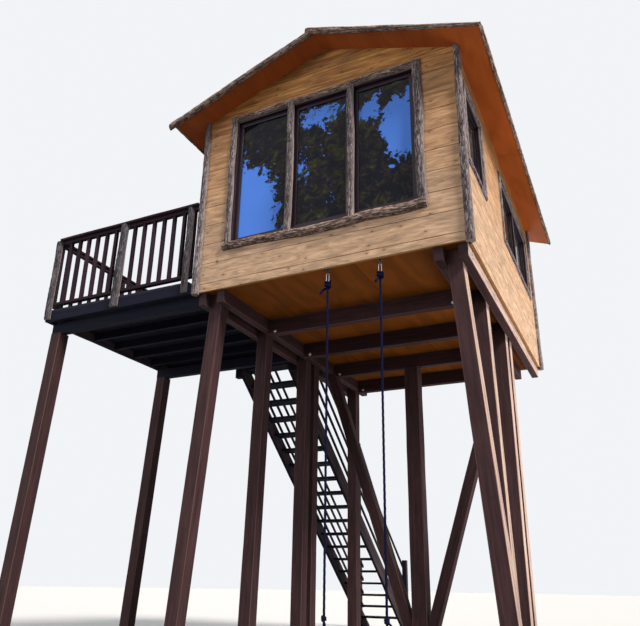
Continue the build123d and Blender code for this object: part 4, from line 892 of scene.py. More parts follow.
class TREEHOUSE_OT_roof(bpy.types.Operator):
    """Plywood soffit sheets, shingles and ridge caps"""

    bl_idname = "treehouse.roof"
    bl_label = "Roof"

    def execute(self, context):
        sizes, roof = context.scene.tree_house_timber, context.scene.tree_house_roof
        slope = np.tan(roof.pitch)
        ridge = roof.eave + WIDTH / 2 * slope
        half = WIDTH / 2 + roof.side_reach
        front, back = -roof.front_reach, LENGTH + roof.back_reach
        gap = 0.003
        for name in ("right_roof_slope", "left_roof_slope"):
            dress(name, "ply_plain")
        with Shape("soffit_sheets", "ply", "orange_plywood") as sheets:
            for side in (1, -1):
                down, drop = unit([side, 0, -slope]), unit([-side * slope, 0, -1])
                for a, b in spans(0.0, half / np.cos(roof.pitch), sizes.sheet_width):
                    centre = at(-WIDTH / 2, 0, ridge) + down * (a + b) / 2 + drop * 0.0015
                    for c, d in spans(front, back, sizes.sheet_length):
                        beam(sheets, centre + Y * (c + gap / 2), centre + Y * (d - gap / 2), down, b - a - gap, 0.004,
                             arris=0.001, step=1.0, seed=int(a * 10 + c * 7 + side * 3 + 40), rough=0.0)
        self.shingles(roof, slope, ridge, half, front, back)
        return {"FINISHED"}

    def shingles(self, roof, slope, ridge, half, front, back):
        """Courses of tabs laid from the eave up, each row shifted by half a tab and lapping the one below, and caps
        over the ridge."""
        covering, overhang, lap, thick = 0.012, 0.015, 1.25, 0.0045
        top = roof.slab / np.cos(roof.pitch) + covering / np.cos(roof.pitch)
        run = (half + overhang) / np.cos(roof.pitch)
        slopes = [(side, unit([side, 0, -slope]), unit([side * slope, 0, 1])) for side in (1, -1)]
        with Shape("roof_shingles", "felt", "roof_felt", "roof_covering", angle=30) as shape:
            for side, down, lift in slopes:
                for course in range(int(np.ceil(run / roof.exposure))):
                    low = run - course * roof.exposure
                    high = max(low - roof.exposure * lap, 0.004)
                    shift = 0.5 * roof.tab * (course % 2)
                    for column, left in enumerate(np.arange(front - shift, back + roof.tab, roof.tab)):
                        a, b = max(left, front) + 0.002, min(left + roof.tab, back) - 0.002
                        if b - a < 0.02:
                            continue
                        seed = course * 50 + column + (0 if side > 0 else 2000)
                        centre = at(-WIDTH / 2, (a + b) / 2, ridge + top - 0.004)
                        quad_tab(shape, centre + down * (low - 0.001) - lift * 0.0005,
                                 centre + down * high - lift * 0.0035, Y, b - a, lift, thick, seed)
        cap_exposure, cap_width, cap_lap, cap_thick = 0.20, 0.120, 1.15, 0.005
        count = int((back - front) / cap_exposure)
        wide = cap_width / np.cos(roof.pitch)
        with Shape("ridge_shingles", "felt", "roof_felt", "ridge_cap", angle=30) as caps:
            for n in range(count):
                a = front + n * (back - front) / count
                b = min(a + (back - front) / count * cap_lap, back)
                for side, down, lift in slopes:
                    start = at(-WIDTH / 2, a + 0.001, ridge + top + 0.010) + down * wide / 2
                    stop = at(-WIDTH / 2, b, ridge + top + 0.005) + down * wide / 2
                    quad_tab(caps, start, stop, down, wide, lift, cap_thick, 900 + n)


def quad_tab(shape, start, stop, side, width, lift, thick, seed):
    """A thin shingle: a box of two rings by four points, its lower edge at start."""
    side = unit(side)
    section = np.array([(-0.5, 0.0), (0.5, 0.0), (0.5, 1.0), (-0.5, 1.0)])
    if np.cross(side, lift) @ unit(stop - start) < 0:
        section = section[::-1]
    offset = section[:, :1] * side * width + section[:, 1:] * lift * thick
    points = np.stack([start + offset, stop + offset])
    walk = np.array([0, width, width + thick, 2 * width + thick, 2 * width + 2 * thick])
    uv = np.stack([np.stack([np.full(5, run), walk], axis=-1) for run in (0.0, np.linalg.norm(stop - start))])
    tone = float(np.random.default_rng(seed).random())
    shape.grid(points, uv, tone)
    shape.lid(points[0], uv[0, :4], tone, reverse=True)
    shape.lid(points[1], uv[1, :4], tone)


class TREEHOUSE_OT_bark(bpy.types.Operator):
    """Bark-covered logs at the corners, roof edges, windows and railing"""

    bl_idname = "treehouse.bark"
    bl_label = "Bark logs"

    def execute(self, context):
        bark, roof = context.scene.tree_house_bark, context.scene.tree_house_roof
        slope = np.tan(roof.pitch)
        corners = ((0, 0, X - Y), (-WIDTH, 0, -X - Y), (0, LENGTH, X + Y), (-WIDTH, LENGTH, Y - X))
        with Shape("corner_bark_logs", "bark sapwood", "bark_log", "corner_logs") as shape:
            for n, (x, y, out) in enumerate(corners):
                foot = at(x, y, 0) + out * bark.corner_shift
                tip = foot.copy()
                foot[2] = box_of("corner_logs")[0, 2]
                tip[2] = ORIGIN[2] + roof.eave - bark.corner_shift * slope
                log(shape, foot, tip, out, bark.corner_radius, rebate=bark.corner_shift, seed=11 + n,
                    cuts=(None, unit([out[0] * slope, 0, 1])), knots=5, taper=0.2)
        self.barges(bark, roof, slope)
        self.window_logs(bark)
        self.railing_logs(bark)
        return {"FINISHED"}

    def barges(self, bark, roof, slope):
        """Half logs on the roof's front and back edges, the right ones lapping over the left ones at the peak, and
        along the eaves."""
        half = WIDTH / 2 + roof.side_reach
        ridge = roof.eave + WIDTH / 2 * slope + roof.slab / np.cos(roof.pitch) / 2
        drop = half * slope + 0.015
        # Barge and eave logs take the bark painted warmer and brighter as sunlit.
        with Shape("barge_bark_logs", "sun_bark sapwood", "bark_log", "barge_logs") as shape:
            for n, (y, out) in enumerate(((-roof.front_reach, -Y), (LENGTH + roof.back_reach, Y))):
                for side, lap, reach, thick, first_cut, taper in (
                    (1, bark.barge_lap, half, 1.1, None, 0.5),
                    (-1, -0.0015, half + bark.barge_tail, 1.0, X, -0.15),
                ):
                    peak = at(-WIDTH / 2 - side * lap, y, ridge + lap * slope)
                    tip = at(-WIDTH / 2 + side * reach, y, ridge - reach * slope)
                    log(shape, peak, tip, out, bark.barge_radius * thick, crook=0.007, seed=31 + 2 * n + side,
                        cuts=(first_cut, X), knots=4, taper=taper)
            for side in (1, -1):
                start, stop = (at(-WIDTH / 2 + side * half, y, ridge - drop)
                               for y in (-roof.front_reach + 0.003, LENGTH + roof.back_reach - 0.003))
                log(shape, start, stop, X * side, bark.eave_radius, crook=0.004, seed=41 + side, knots=9)

    def window_logs(self, bark):
        """Sill and head logs first, then the uprights, whose ends run into them; plainer frames at the sides."""
        low, high = box_of("front_window_cross_logs")
        jamb_low, jamb_high = box_of("front_window_upright_logs")
        middle, face = (low[0] + high[0]) / 2, ORIGIN[1]
        sill_z, head_z = low[2] + bark.sill_radius, high[2] - bark.head_radius
        head_half = (jamb_high[0] - jamb_low[0]) / 2
        # Sill and head logs take the bark painted warmer and brighter as sunlit.
        with Shape("front_window_cross_bark", "sun_bark sapwood", "bark_log", "front_window_cross_logs") as shape:
            for half, z, radius, settings in (
                ((high[0] - low[0]) / 2, sill_z, bark.sill_radius * 0.92,
                 dict(crook=0.026, seed=51, sawn=0.006, knots=9, taper=-0.18)),
                (head_half, head_z, bark.head_radius * 0.9,
                 dict(crook=0.008, seed=52, sawn=0.014, knots=7, taper=-0.25)),
            ):
                log(shape, (middle - half, face, z), (middle + half, face, z), -Y, radius, **settings)
        jamb = head_half - bark.jamb_radius
        with Shape("front_window_upright_bark", "bark sapwood", "bark_log", "front_window_upright_logs") as shape:
            for n, (x, wide) in enumerate(((-jamb, 0.94), (-0.388, 0.98), (0.388, 0.98), (jamb, 1.18))):
                log(shape, (middle + x, face, sill_z), (middle + x, face, head_z), -Y, bark.jamb_radius * wide,
                    crook=0.008, seed=61 + n, sawn=0.019, knots=5)
        r = bark.side_radius
        foot, head = WINDOW_FOOT - r / 2, WINDOW_HEAD + r / 2
        with Shape("side_window_bark", "bark sapwood", "bark_log", "side_window_logs") as shape:
            for n, (corner, run, out, start, stop, _) in enumerate(WINDOWS):
                for m, z in enumerate((foot, head)):
                    log(shape, corner + run * (start - 1.5 * r) + Z * z, corner + run * (stop + 1.5 * r) + Z * z,
                        out, r, crook=0.005, seed=71 + 4 * n + m, sawn=0.008, knots=4)
                for m, spot in enumerate((start - r / 2, stop + r / 2)):
                    log(shape, corner + run * spot + Z * (foot + 0.5 * r), corner + run * spot + Z * (head - 0.5 * r),
                        out, r, crook=0.004, seed=73 + 4 * n + m, sawn=0.008)

    def railing_logs(self, bark):
        """Half logs standing on the deck's rim, some leaning, each of its own thickness."""
        low, high = box_of("railing_logs")
        rim_low, rim_high = box_of("deck_rim")
        wall, end = ORIGIN[0] - WIDTH, rim_low[0] + bark.rail_radius
        # Each log: its place, outward direction, lean at the foot and share of the rail log's radius
        logs = (
            (end, rim_low[1], -Y, 0.011, 0.92),
            (wall - 1.214, rim_low[1], -Y, 0.042, 1.1),
            (wall - 0.171, rim_low[1], -Y, 0.016, 0.84),
            (rim_low[0], (rim_low[1] + rim_high[1]) / 2, -X, 0.0, 0.95),
            (end, rim_high[1], Y, 0.0, 0.95),
        )
        # The railing's logs take the bark painted darker and bluer as shade.
        with Shape("railing_bark_logs", "rail_bark sapwood", "bark_log", "railing_logs") as shape:
            for n, (x, y, out, lean, wide) in enumerate(logs):
                log(shape, (x - lean, y, low[2]), (x, y, high[2]), out, bark.rail_radius * wide, crook=0.008,
                    seed=91 + n, sawn=0.004, knots=4, cuts=(Z, Z))


class TREEHOUSE_OT_windows(bpy.types.Operator):
    """Painted linings, mullions and sashes, with tinted glass"""

    bl_idname = "treehouse.windows"
    bl_label = "Windows"

    def execute(self, context):
        low, high = box_of("front_window_frame")
        glass_y = box_of("front_window_glass")[:, 1].sum() / 2
        y, depth = (low[1] + high[1]) / 2, high[1] - low[1]
        lining, mullion, sash, sash_depth = 0.030, 0.060, 0.048, 0.045
        light = (high[0] - low[0] - 2 * lining - 2 * mullion) / 3
        foot, head = low[2] + lining, high[2] - lining
        stiles = [(x, lining, int(abs(x) * 10)) for x in (low[0] + lining / 2, high[0] - lining / 2)]
        stiles += [(low[0] + lining + n * light + (n - 0.5) * mullion, mullion, 20 + n) for n in (1, 2)]
        with Shape("front_window_joinery", "sash", "window_timber", "front_window_frame") as shape:
            for z in (low[2] + lining / 2, high[2] - lining / 2):
                beam(shape, (low[0], y, z), (high[0], y, z), Y, depth, lining, arris=JOINERY_ARRIS, seed=int(z * 10))
            for x, wide, seed in stiles:
                beam(shape, (x, y, foot), (x, y, head), Y, depth, wide, arris=JOINERY_ARRIS, seed=seed)
            for n in range(3):
                left = low[0] + lining + n * (light + mullion)
                sash_frame(shape, (left, left + light), (foot, head), X, (0, glass_y, 0), sash, sash_depth, 30 + n)
        dress("front_window_glass", "glass")
        self.side_windows()
        return {"FINISHED"}

    def side_windows(self):
        """The side and back windows: a lining with its middle bar, and a bead round each pane on both faces."""
        depth, lining, bar = 0.100, 0.045, 0.050
        bead, bead_depth, bead_place = 0.014, 0.012, 0.012
        foot, head = WINDOW_FOOT + lining, WINDOW_HEAD - lining
        with Shape("side_window_joinery", "sash", "window_timber", "side_window_frames") as shape:
            for n, (corner, run, out, start, stop, lights) in enumerate(WINDOWS):
                core = corner - out * depth / 2
                bars = [(core + run * start + Z * z, core + run * stop + Z * z, lining, 100 + n)
                        for z in (WINDOW_FOOT + lining / 2, WINDOW_HEAD - lining / 2)]
                stiles = [(start + lining / 2, lining, 110 + n), (stop - lining / 2, lining, 110 + n)]
                stiles += [((start + stop) / 2, bar, 120 + n)] * (lights - 1)
                bars += [(core + run * spot + Z * foot, core + run * spot + Z * head, wide, seed)
                         for spot, wide, seed in stiles]
                for a, b, wide, seed in bars:
                    beam(shape, a, b, out, depth, wide, arris=JOINERY_ARRIS, seed=seed)
                pane = (stop - start - 2 * lining - (lights - 1) * bar) / lights
                for m in range(lights):
                    a = start + lining + m * (pane + bar)
                    for face in (bead_place, -bead_place):
                        sash_frame(shape, (a, a + pane), (foot, head), run, core + out * face, bead, bead_depth,
                                   130 + 4 * n + m)
        dress("side_window_glass", "glass")


def sash_frame(shape, across, upright, run, base, width, depth, seed):
    """Two stiles and two rails round one pane: across is measured along run from base, upright in height."""
    (a, b), (c, d) = across, upright
    base = np.asarray(base, float)
    bars = [(base + run * x + Z * c, base + run * x + Z * d) for x in (a + width / 2, b - width / 2)]
    bars += [(base + run * (a + width) + Z * z, base + run * (b - width) + Z * z)
             for z in (c + width / 2, d - width / 2)]
    for n, (start, stop) in enumerate(bars):
        beam(shape, start, stop, unit(np.cross(run, Z)), depth, width, arris=JOINERY_ARRIS, seed=seed + n)


class TREEHOUSE_OT_door(bpy.types.Operator):
    """The deck door: frame, ledged leaf with its pane, and a lever handle"""

    bl_idname = "treehouse.door"
    bl_label = "Door"

    def execute(self, context):
        low, high = box_of("door_frame")
        leaf_low, leaf_high = box_of("door_leaf")
        thick, post_wide, sill_thick, ledge = high[0] - low[0], 0.050, 0.042, 0.12
        x, leaf_x = (low[0] + high[0]) / 2, (leaf_low[0] + leaf_high[0]) / 2
        with Shape("door_joinery", "sash", "door_timber", "door_frame") as shape:
            for n, y in enumerate((low[1] + post_wide / 2, high[1] - post_wide / 2)):
                beam(shape, (x, y, low[2]), (x, y, high[2] - post_wide), X, thick, post_wide, arris=JOINERY_ARRIS,
                     seed=200 + n)
            z = high[2] - post_wide / 2
            beam(shape, (x, low[1], z), (x, high[1], z), X, thick, post_wide, arris=JOINERY_ARRIS, seed=203)
            foot = leaf_low[2] - low[2]
            z = low[2] + foot / 2
            beam(shape, (leaf_x, low[1] + post_wide, z), (leaf_x, high[1] - post_wide, z), X, sill_thick, foot,
                 arris=0.001, seed=205)
        (_, y0, z0), (_, y1, z1) = leaf_low, leaf_high
        height, width, deep = z1 - z0, y1 - y0, leaf_high[0] - leaf_low[0]
        pane = ((y0 + y1) / 2 - width / 4, (y0 + y1) / 2 + width / 4)
        pane_z = (z0 + height * 0.75 - height / 6, z0 + height * 0.75 + height / 6)
        with Shape("door_leaf_boards", "door", "door_timber", "door_leaf") as leaf:
            for n, (a, b) in enumerate(((y0, pane[0]), (pane[1], y1))):
                beam(leaf, (leaf_x, (a + b) / 2, z0), (leaf_x, (a + b) / 2, z1), X, deep, b - a - 0.001,
                     arris=JOINERY_ARRIS, seed=210 + n)
            z = (pane_z[1] + z1) / 2
            beam(leaf, (leaf_x, pane[0], z), (leaf_x, pane[1], z), X, deep, z1 - pane_z[1], arris=JOINERY_ARRIS,
                 seed=213)
            boards = 3
            step = (pane[1] - pane[0]) / boards
            for n in range(boards):
                y = pane[0] + (n + 0.5) * step
                beam(leaf, (leaf_x, y, z0), (leaf_x, y, pane_z[0]), X, deep * 0.7, step - 0.003, seed=215 + n)
            for z in (z0 + ledge, pane_z[0] - ledge / 2):
                beam(leaf, (leaf_x, pane[0], z), (leaf_x, pane[1], z), X, deep * 0.95, ledge, arris=JOINERY_ARRIS,
                     seed=220 + int(z))
            for n, face in enumerate((-deep / 2 + 0.006, deep / 2 - 0.006)):
                sash_frame(leaf, pane, pane_z, Y, (leaf_x + face, 0, 0), 0.016, 0.012, 230 + n)
        with Shape("door_pane", "glass", "pane") as glass:
            z = sum(pane_z) / 2
            beam(glass, (leaf_x, pane[0], z), (leaf_x, pane[1], z), X, 0.008, pane_z[1] - pane_z[0], arris=0.001,
                 seed=240, rough=0.0, step=2.0)
        self.handle()
        return {"FINISHED"}

    def handle(self):
        """A back plate with a turned spindle, a bent lever and a keyhole's cover."""
        low, high = box_of("door_handle")
        plate, wide = 0.008, 0.040
        x, y = high[0], high[1] - wide / 2
        middle_z = (low[2] + high[2]) / 2
        z = middle_z + 0.040
        with Shape("door_lever", "steel", "steel", "door_handle") as shape:
            beam(shape, (x - plate / 2, y, low[2]), (x - plate / 2, y, high[2]), X, plate, wide, arris=0.002, seed=250,
                 rough=0.0, step=1.0)
            turned(shape, (x, y, z), -X, [(0.013, 0.0), (0.013, 0.008), (0.009, 0.012), (0.009, 0.050), (0.006, 0.055),
                                          (0.0, 0.055)])
            path = np.array([[x - 0.046, y + 0.004, z], [x - 0.048, y - 0.02, z], [x - 0.047, y - 0.06, z + 0.001],
                             [x - 0.044, low[1] + 0.002, z]])
            fine = np.linspace(0, 3, 24)
            curve = np.stack([np.interp(fine, range(4), path[:, c]) for c in range(3)], axis=-1)
            strand(shape, curve, 0.008, lobes=2, lay=9.0)
            turned(shape, (x - plate, y, middle_z - 0.055), -X, [(0.007, 0.0), (0.007, 0.002), (0.0, 0.0022)],
                   around=12)


class TREEHOUSE_OT_underfloor(bpy.types.Operator):
    """Stained plywood sheets under the cabin with open joints"""

    bl_idname = "treehouse.underfloor"
    bl_label = "Underfloor plywood"

    def execute(self, context):
        sizes = context.scene.tree_house_timber
        low, high = box_of("underfloor_ply")
        gap, z = 0.004, (low[2] + high[2]) / 2
        # The underfloor finish is painted darker as the shade under the cabin.
        with Shape("underfloor_sheets", "under", "orange_plywood", "underfloor_ply") as shape:
            for n, (right, left) in enumerate(spans(high[0], low[0], sizes.sheet_width)):
                x = (right + left) / 2
                for m, (a, b) in enumerate(spans(low[1], high[1], sizes.sheet_length)):
                    beam(shape, (x, a + gap / 2, z), (x, b - gap / 2, z), X, right - left - gap, high[2] - low[2],
                         arris=0.002, step=1.0, seed=300 + n * 7 + m, rough=0.0)
        return {"FINISHED"}


class TREEHOUSE_OT_frame(bpy.types.Operator):
    """Posts, beams, mast and struts under the cabin, with their bolts"""

    bl_idname = "treehouse.frame"
    bl_label = "Carrying frame"

    def execute(self, context):
        arris = context.scene.tree_house_timber.arris
        low, high = box_of("side_beams")
        z, inner = (low[2] + high[2]) / 2, SIDE_BEAM * 1.5 + POST
        lines = (low[0] + SIDE_BEAM / 2, low[0] + inner, high[0] - inner, high[0] - SIDE_BEAM / 2)
        # Only the outer right side beam takes painted sunlight on its faces toward SUNWARD; the other three are given
        # none.
        with Shape("side_beam_timbers", "stain", "dark_timber", "side_beams") as shape:
            for n, x in enumerate(lines):
                beam(shape, (x, low[1], z), (x, high[1], z), X, SIDE_BEAM, high[2] - low[2], arris=arris, seed=400 + n,
                     sun=None if n == 3 else 0.0)
        low, high = box_of("cross_beams")
        z = (low[2] + high[2]) / 2
        with Shape("cross_beam_timbers", "stain", "dark_timber", "cross_beams") as shape:
            for n, place in enumerate(CROSS_BEAM_PLACES):
                y = ORIGIN[1] + place
                beam(shape, (low[0], y, z), (high[0], y, z), Y, CROSS_BEAM, high[2] - low[2], arris=arris, seed=410 + n)
        self.posts(arris, (lines[0] + lines[1]) / 2, (lines[2] + lines[3]) / 2)
        self.mast_and_struts(arris, lines)
        self.bolts(lines)
        return {"FINISHED"}

    def posts(self, arris, left, right):
        """Splayed posts at the front rows and upright ones behind, each cut level at its head and foot."""
        head = box_of("splayed_posts")[1, 2]
        with Shape("splayed_post_timbers", "stain", "dark_timber", "splayed_posts") as shape:
            for n, (place, splay) in enumerate(SPLAYED_ROWS):
                y = ORIGIN[1] + place
                for side, top in ((-1, left), (1, right)):
                    # Only the right-hand posts take painted sunlight on their faces toward SUNWARD.
                    beam(shape, (top + side * splay, y, 0), (top, y, head), X, POST, POST, arris=arris, cuts=(Z, Z),
                         seed=420 + 4 * n + side, rough=0.0016, sun=None if side > 0 else 0.0)
        head, cross_foot = box_of("upright_posts")[1, 2], box_of("cross_beams")[0, 2]
        places = [(x, place, head) for place in UPRIGHT_ROWS for x in (left, right)]
        places += [(left, BACK_ROW, head), (right - 0.250, CROSS_BEAM_PLACES[-1], cross_foot)]
        with Shape("upright_post_timbers", "stain", "dark_timber", "upright_posts") as shape:
            for n, (x, place, head) in enumerate(places):
                # Only posts right of the middle take painted sunlight on their faces toward SUNWARD.
                post(shape, x, ORIGIN[1] + place, 0, head, POST, arris=arris, seed=440 + n, rough=0.0016,
                     sun=None if x > (left + right) / 2 else 0.0)

    def mast_and_struts(self, arris, lines):
        """The mast under the third cross beam and the two struts that rise from it to the inner beams."""
        low, high = box_of("mast")
        x, y = (low[0] + high[0]) / 2, (low[1] + high[1]) / 2
        size, strut = high[0] - low[0], 0.140
        # The mast and the struts are given no painted sunlight.
        with Shape("mast_timber", "stain", "dark_timber", "mast") as shape:
            post(shape, x, y, low[2], high[2], size, arris=arris * 1.4, seed=460, rough=0.003, sun=0.0)
        low, high = box_of("struts")
        with Shape("strut_timbers", "stain", "dark_timber", "struts") as shape:
            for side, reach in ((1, lines[2] - x), (-1, x - lines[1])):
                beam(shape, (x + side * size / 2, y, low[2]), (x + side * reach, y, high[2]), Y, strut, strut,
                     arris=arris, cuts=(Z, Z), seed=470 + side, rough=0.0016, sun=0.0)

    def bolts(self, lines):
        """Galvanised coach bolts with round washers where beams meet posts."""
        low, high = box_of("side_beams")
        z, apart = (low[2] + high[2]) / 2, 0.035
        inset, drop = 0.09, 0.008
        with Shape("frame_bolts", "steel", "steel", angle=30) as shape:
            for place in (*(row for row, _ in SPLAYED_ROWS), *UPRIGHT_ROWS, BACK_ROW):
                y = ORIGIN[1] + place
                for side, x in ((1, high[0]), (-1, low[0])):
                    if side > 0 and place == BACK_ROW:
                        continue
                    for lift in (-apart, apart):
                        coach_bolt(shape, (x, y + lift * 0.6, z + lift), X * side)
            for place in CROSS_BEAM_PLACES:
                y = ORIGIN[1] + place - CROSS_BEAM / 2
                for x, side in ((lines[1] + SIDE_BEAM / 2, 1), (lines[2] - SIDE_BEAM / 2, -1)):
                    coach_bolt(shape, (x + side * inset, y, low[2] - drop), -Y)


def coach_bolt(shape, foot, axis):
    """A washer 44 mm across under a domed head 26 mm across."""
    turned(shape, foot, axis, [(0.022, -0.002), (0.022, 0.002), (0.0205, 0.003), (0.013, 0.003), (0.0125, 0.006),
                               (0.009, 0.0095), (0.004, 0.011), (0.0, 0.0112)], around=14)


class TREEHOUSE_OT_deck(bpy.types.Operator):
    """Rim, joists, boards, beams and posts of the deck"""

    bl_idname = "treehouse.deck"
    bl_label = "Deck"

    def execute(self, context):
        arris = context.scene.tree_house_timber.arris
        rim_low, rim_high = low, high = box_of("deck_rim")
        thick, deep, z = DECK_THICK, high[2] - low[2], (low[2] + high[2]) / 2
        with Shape("deck_rim_boards", "deck", "deck_timber", "deck_rim") as shape:
            for n, y in enumerate((low[1] + thick / 2, high[1] - thick / 2)):
                right = high[0] - (DECK_NOTCH if n == 0 else 0.0)
                beam(shape, (low[0], y, z), (right, y, z), Y, thick, deep, arris=arris, seed=500 + n)
            for n, x in enumerate((low[0] + thick / 2, high[0] - thick / 2)):
                first = low[1] + (thick if n == 0 else DECK_NOTCH)
                beam(shape, (x, first, z), (x, high[1] - thick, z), X, thick, deep, arris=arris, seed=503 + n)
        low, high = box_of("deck_joists")
        count, z = 5, (low[2] + high[2]) / 2
        with Shape("deck_joist_timbers", "deck", "deck_timber", "deck_joists") as shape:
            for n in range(count):
                y = low[1] + thick / 2 + n * (high[1] - low[1] - thick) / (count - 1)
                beam(shape, (low[0], y, z), (high[0], y, z), Y, thick, high[2] - low[2], arris=arris, seed=510 + n)
        low, high = box_of("deck_boards")
        gap, board, z = 0.006, 0.118, (low[2] + high[2]) / 2
        count = int((high[0] - low[0] + gap) / (board + gap) + 0.01)
        pitch = (high[0] - low[0] + gap) / count
        with Shape("deck_board_timbers", "deck", "deck_timber", "deck_boards") as shape:
            for n in range(count):
                x = low[0] + (pitch - gap) / 2 + n * pitch
                first = low[1] + (DECK_NOTCH if n == count - 1 else 0.0)
                beam(shape, (x, first, z), (x, high[1], z), X, pitch - gap, high[2] - low[2], seed=520 + n,
                     rough=0.0006)
        low, high = box_of("deck_beams")
        head, z = box_of("deck_posts")[1, 2], (low[2] + high[2]) / 2
        inset, back_inset, splay = 0.150, 0.270, 0.220
        top = rim_low[0] + inset
        with (Shape("deck_post_timbers", "stain", "dark_timber", "deck_posts") as posts,
              Shape("deck_beam_timbers", "deck", "deck_timber", "deck_beams") as beams):
            for n, place in enumerate((inset, rim_high[1] - rim_low[1] - back_inset)):
                y = ORIGIN[1] + place
                beam(beams, (low[0], y, z), (high[0], y, z), Y, CROSS_BEAM, high[2] - low[2], arris=arris, seed=560 + n)
                # The deck's posts are given no painted sunlight.
                beam(posts, (top - splay, y, 0), (top, y, head), X, POST, POST, arris=arris, cuts=(Z, Z), seed=570 + n,
                     rough=0.0016, sun=0.0)
        return {"FINISHED"}


class TREEHOUSE_OT_railing(bpy.types.Operator):
    """Rails, balusters and flat handrail of the deck"""

    bl_idname = "treehouse.railing"
    bl_label = "Railing"

    def execute(self, context):
        low, high = box_of("railing_rails")
        rim_low, rim_high = box_of("deck_rim")
        wide, thick = 0.060, 0.040
        right, stair_left = high[0], ORIGIN[0] - WIDTH - STAIR_WALL_GAP - STAIR_WIDTH
        front, back, left = rim_low[1] + wide / 2, rim_high[1] - wide / 2, rim_low[0] + wide / 2
        with Shape("railing_rail_timbers", "rail", "deck_timber", "railing_rails") as shape:
            for n, z in enumerate((low[2] + thick / 2, high[2] - thick / 2)):
                for a, b, side, seed in (
                    ((rim_low[0], front, z), (right, front, z), Y, 600),
                    ((left, front + wide / 2, z), (left, back - wide / 2, z), X, 603),
                    ((rim_low[0], back, z), (stair_left, back, z), Y, 606),
                ):
                    beam(shape, a, b, side, wide, thick, seed=seed + n)
        pitch, size = 0.153, 0.042
        runs = (((rim_low[0], front), X, right - rim_low[0], 0), ((left, front), Y, back - front, 1),
                ((rim_low[0], back), X, stair_left - rim_low[0], 0))
        with Shape("baluster_timbers", "rail", "deck_timber", "balusters") as bars:
            for k, ((x, y), run, reach, less) in enumerate(runs):
                count = int(reach / pitch)
                for n in range(count - less):
                    spot = reach / 2 + (n - (count - less - 1) / 2) * (reach / count)
                    foot = np.array([x, y, low[2] + thick]) + run * spot
                    post(bars, foot[0], foot[1], foot[2], high[2] - thick, size, arris=0.003, step=0.3,
                         seed=620 + 40 * k + n)
        self.handrail(stair_left)
        return {"FINISHED"}

    def handrail(self, stair_left):
        """Three flat boards, mitred at the corners: an end with a cut starts half a width in and slides to the cut."""
        low, high = box_of("handrail")
        width, z = 0.140, (low[2] + high[2]) / 2
        left, front, back = low[0] + width / 2, low[1] + width / 2, high[1] - width / 2
        boards = (((low[0], front), (high[0], front), Y, (Y + X, None)),
                  ((left, low[1]), (left, high[1]), X, (X + Y, Y - X)),
                  ((low[0], back), (stair_left, back), Y, (X - Y, None)))
        with Shape("handrail_boards", "rail", "deck_timber", "handrail") as shape:
            for n, (a, b, side, cuts) in enumerate(boards):
                start, stop = np.array([*a, z]), np.array([*b, z])
                line = unit(stop - start)
                first, last = (0.0 if cut is None else width / 2 for cut in cuts)
                beam(shape, start + line * first, stop - line * last, side, width, high[2] - low[2], arris=0.006,
                     cuts=cuts, seed=680 + n)


class TREEHOUSE_OT_stair(bpy.types.Operator):
    """Stringers, treads, newels and sloping rails"""

    bl_idname = "treehouse.stair"
    bl_label = "Stair"

    def execute(self, context):
        risers, going, tread, tread_thick = 20, 0.265, 0.260, 0.038
        start_y, floor = box_of("deck_rim")[1, 1], box_of("deck_boards")[1, 2]
        rise = floor / risers
        slope = rise / going
        angle = np.arctan(slope)
        top, deep, thick = floor - 0.030, 0.230, 0.048
        fall = deep / np.cos(angle)
        low, high = box_of("stair_stringers")
        with Shape("stringer_timbers", "deck", "deck_timber", "stair_stringers") as shape:
            for n, x in enumerate((low[0] + thick / 2, high[0] - thick / 2)):
                last_y = start_y + (top - fall / 2) / slope
                beam(shape, (x, start_y, top - fall / 2), (x, last_y, 0), X, thick, deep, cuts=(Y, Z), seed=700 + n)
        low, high = box_of("stair_treads")
        with Shape("tread_boards", "deck", "deck_timber", "stair_treads") as shape:
            for n in range(1, risers):
                y, z = start_y + (n - 0.5) * going, floor - n * rise - tread_thick / 2
                beam(shape, (low[0], y, z), (high[0], y, z), Y, tread, tread_thick, arris=0.006, seed=710 + n)
        low, high = box_of("stair_newels")
        size, tall, run = 0.090, 1.000, going * (risers - 1)
        places = (size / 2, run / 2, run - size)
        hand_low = box_of("handrail")[0, 2]
        with Shape("newel_timbers", "deck", "deck_timber", "stair_newels") as shape:
            for k, x in enumerate((low[0] + size / 2, high[0] - size / 2)):
                for n, place in enumerate(places):
                    level = top - place * slope
                    tip = level + tall if place > size else hand_low
                    post(shape, x, start_y + place, max(0.0, level - fall), tip, size, arris=0.006,
                         seed=740 + 4 * k + n)
        low, high = box_of("stair_rails")
        thick, deep, rails, tip = 0.030, 0.038, 4, 0.060
        a, b = places[0] - size / 2, places[-1] + size / 2
        with Shape("stair_rail_timbers", "deck", "deck_timber", "stair_rails") as shape:
            for k, x in enumerate((low[0] + thick / 2, high[0] - thick / 2)):
                for n in range(1, rails + 1):
                    level = top + n * tall / rails - tip - deep / np.cos(angle) / 2
                    beam(shape, (x, start_y + a, level - a * slope), (x, start_y + b, level - b * slope), X, thick,
                         deep, cuts=(Y, Y), seed=760 + 8 * k + n)
        return {"FINISHED"}


